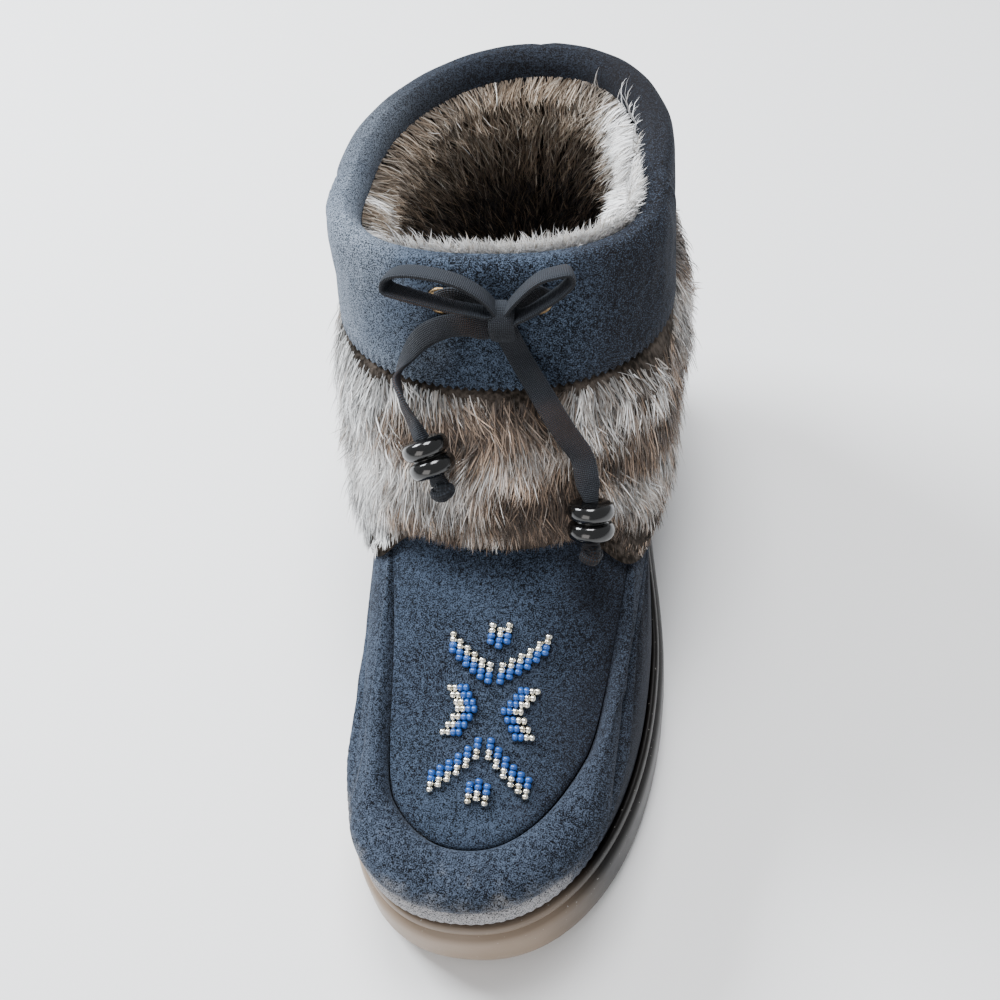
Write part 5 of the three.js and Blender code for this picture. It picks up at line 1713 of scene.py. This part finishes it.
    def end_knot(self, side: str, centre: Array, along: Array) -> bpy.types.Object:
        """Overhand knot under a bead: a closed trefoil tube.

        The tube's middle line is (sin t + 2 sin 2t, cos t - 2 cos 2t, -sin 3t), scaled to the knot's size.
        """
        below = centre + along * (self.bead_half + self.stop_drop)
        side_dir = unit(np.cross(along, [0.2, 0.9, 0.3]))
        other = np.cross(along, side_dir)
        t = turns(96)
        a = (np.sin(t) + 2 * np.sin(2 * t)) * 0.72
        b = (np.cos(t) - 2 * np.cos(2 * t)) * 0.62
        c = -np.sin(3 * t) * 1.5
        path = below + a[:, None] * other + b[:, None] * along + c[:, None] * side_dir
        tangent = unit(np.roll(path, -1, axis=0) - np.roll(path, 1, axis=0))
        normal = unit(path - below)
        normal = unit(normal - tangent * np.sum(normal * tangent, axis=1, keepdims=True))
        binormal = np.cross(tangent, normal)
        corner = turns(12)
        high, wide = (np.cos(corner)[None, :, None] * 1.75, np.sin(corner)[None, :, None] * 2.2)
        rows = path[:, None] + (normal[:, None] * high + binormal[:, None] * wide)
        size = rows.shape[:2]
        faces = [quads(*size, True, True)]
        piece = add_piece(f"end_knot_{side}", rows, faces, WOVEN, (f"lace_stop_{side}",))
        self.weave(piece, corner[None, :] / 6.3, t[:, None] * 0.6, size)
        return piece


# Studio


@dataclass
class Studio:
    """Camera at the photograph's angle, pale floor and soft lights."""

    eye: tuple[float, float, float] = (68.18, -293.41, 470.12)
    pitch: float = 0.93335
    yaw: float = -0.03983
    focal: float = 1469.4
    lens: float = 52.0
    aim: tuple[float, float] = (324.0, 501.0)
    picture_middle: float = 500.0

    def build(self) -> None:
        """Aims the camera at the boot's middle along the photograph's own ray through it."""
        level_part = math.cos(self.pitch)
        forward = Vector(
            (math.sin(self.yaw) * level_part, math.cos(self.yaw) * level_part, -math.sin(self.pitch))
        )
        right = Vector((math.cos(self.yaw), -math.sin(self.yaw), 0.0))
        up = right.cross(forward)
        across, down = (at - self.picture_middle for at in self.aim)
        ray = forward + right * (across / self.focal) + up * (-down / self.focal)
        data = bpy.data.cameras.new("camera")
        data.lens, data.sensor_width, data.sensor_fit = self.lens, 36.0, "HORIZONTAL"
        data.clip_start, data.clip_end = 0.01, 20.0
        camera = bpy.data.objects.new("camera", data)
        camera.location = Vector(self.eye) * METRE
        camera.rotation_mode = "QUATERNION"
        level = forward.to_track_quat("-Z", "Y")
        camera.rotation_quaternion = forward.rotation_difference(ray) @ level
        bpy.context.scene.collection.objects.link(camera)
        bpy.context.scene.camera = camera
        self.floor()
        self.light("window", (-0.75, 0.4, 0.8), 0.4, 24.0, (0.92, 0.96, 1.0))
        self.light("ceiling", (0.0, 0.25, 1.25), 0.5, 20.0, (0.97, 0.98, 1.0))
        self.light("front", (-0.3, -0.9, 0.4), 0.6, 4.0, (1.0, 0.96, 0.92))
        world = bpy.data.worlds.new("soft room")
        world.use_nodes = True
        background = world.node_tree.nodes["Background"]
        background.inputs[0].default_value = (0.95, 0.97, 1.0, 1.0)
        background.inputs[1].default_value = 0.6
        bpy.context.scene.world = world

    def floor(self) -> None:
        """A wide pale plane that takes the boot's shadow."""
        mesh = bpy.data.meshes.new("floor")
        mesh.from_pydata([(-4, -4, 0), (4, -4, 0), (4, 4, 0), (-4, 4, 0)], [], [(0, 1, 2, 3)])
        paint = Paint("pale floor")
        mesh.materials.append(paint.finish({"Base Color": (0.88, 0.88, 0.88), "Roughness": 0.85}))
        plane = bpy.data.objects.new("floor", mesh)
        bpy.context.scene.collection.objects.link(plane)

    def light(
        self, name: str, place: tuple[float, float, float], size: float, power: float, colour: Colour
    ) -> None:
        """A square soft light that points at the boot's middle."""
        data = bpy.data.lights.new(name, "AREA")
        data.size, data.energy, data.color = size, power, colour
        lamp = bpy.data.objects.new(name, data)
        lamp.location = place
        lamp.rotation_mode = "QUATERNION"
        lamp.rotation_quaternion = (Vector((0, 0, 0.08)) - Vector(place)).to_track_quat("-Z", "Y")
        bpy.context.scene.collection.objects.link(lamp)


def main() -> None:
    """Builds the studio and each sub-assembly."""
    logging.basicConfig(level=logging.INFO, format="%(name)s %(message)s")
    kinds = (Studio, Drawstring, Eyelets, CupSole, Upper, RollBand, Apron, Beadwork, Collar, Lining, FurCuff)
    for kind in kinds:
        part = kind()
        part.build()
        log.info("%s done", type(part).__name__)


if __name__ == "__main__":
    main()
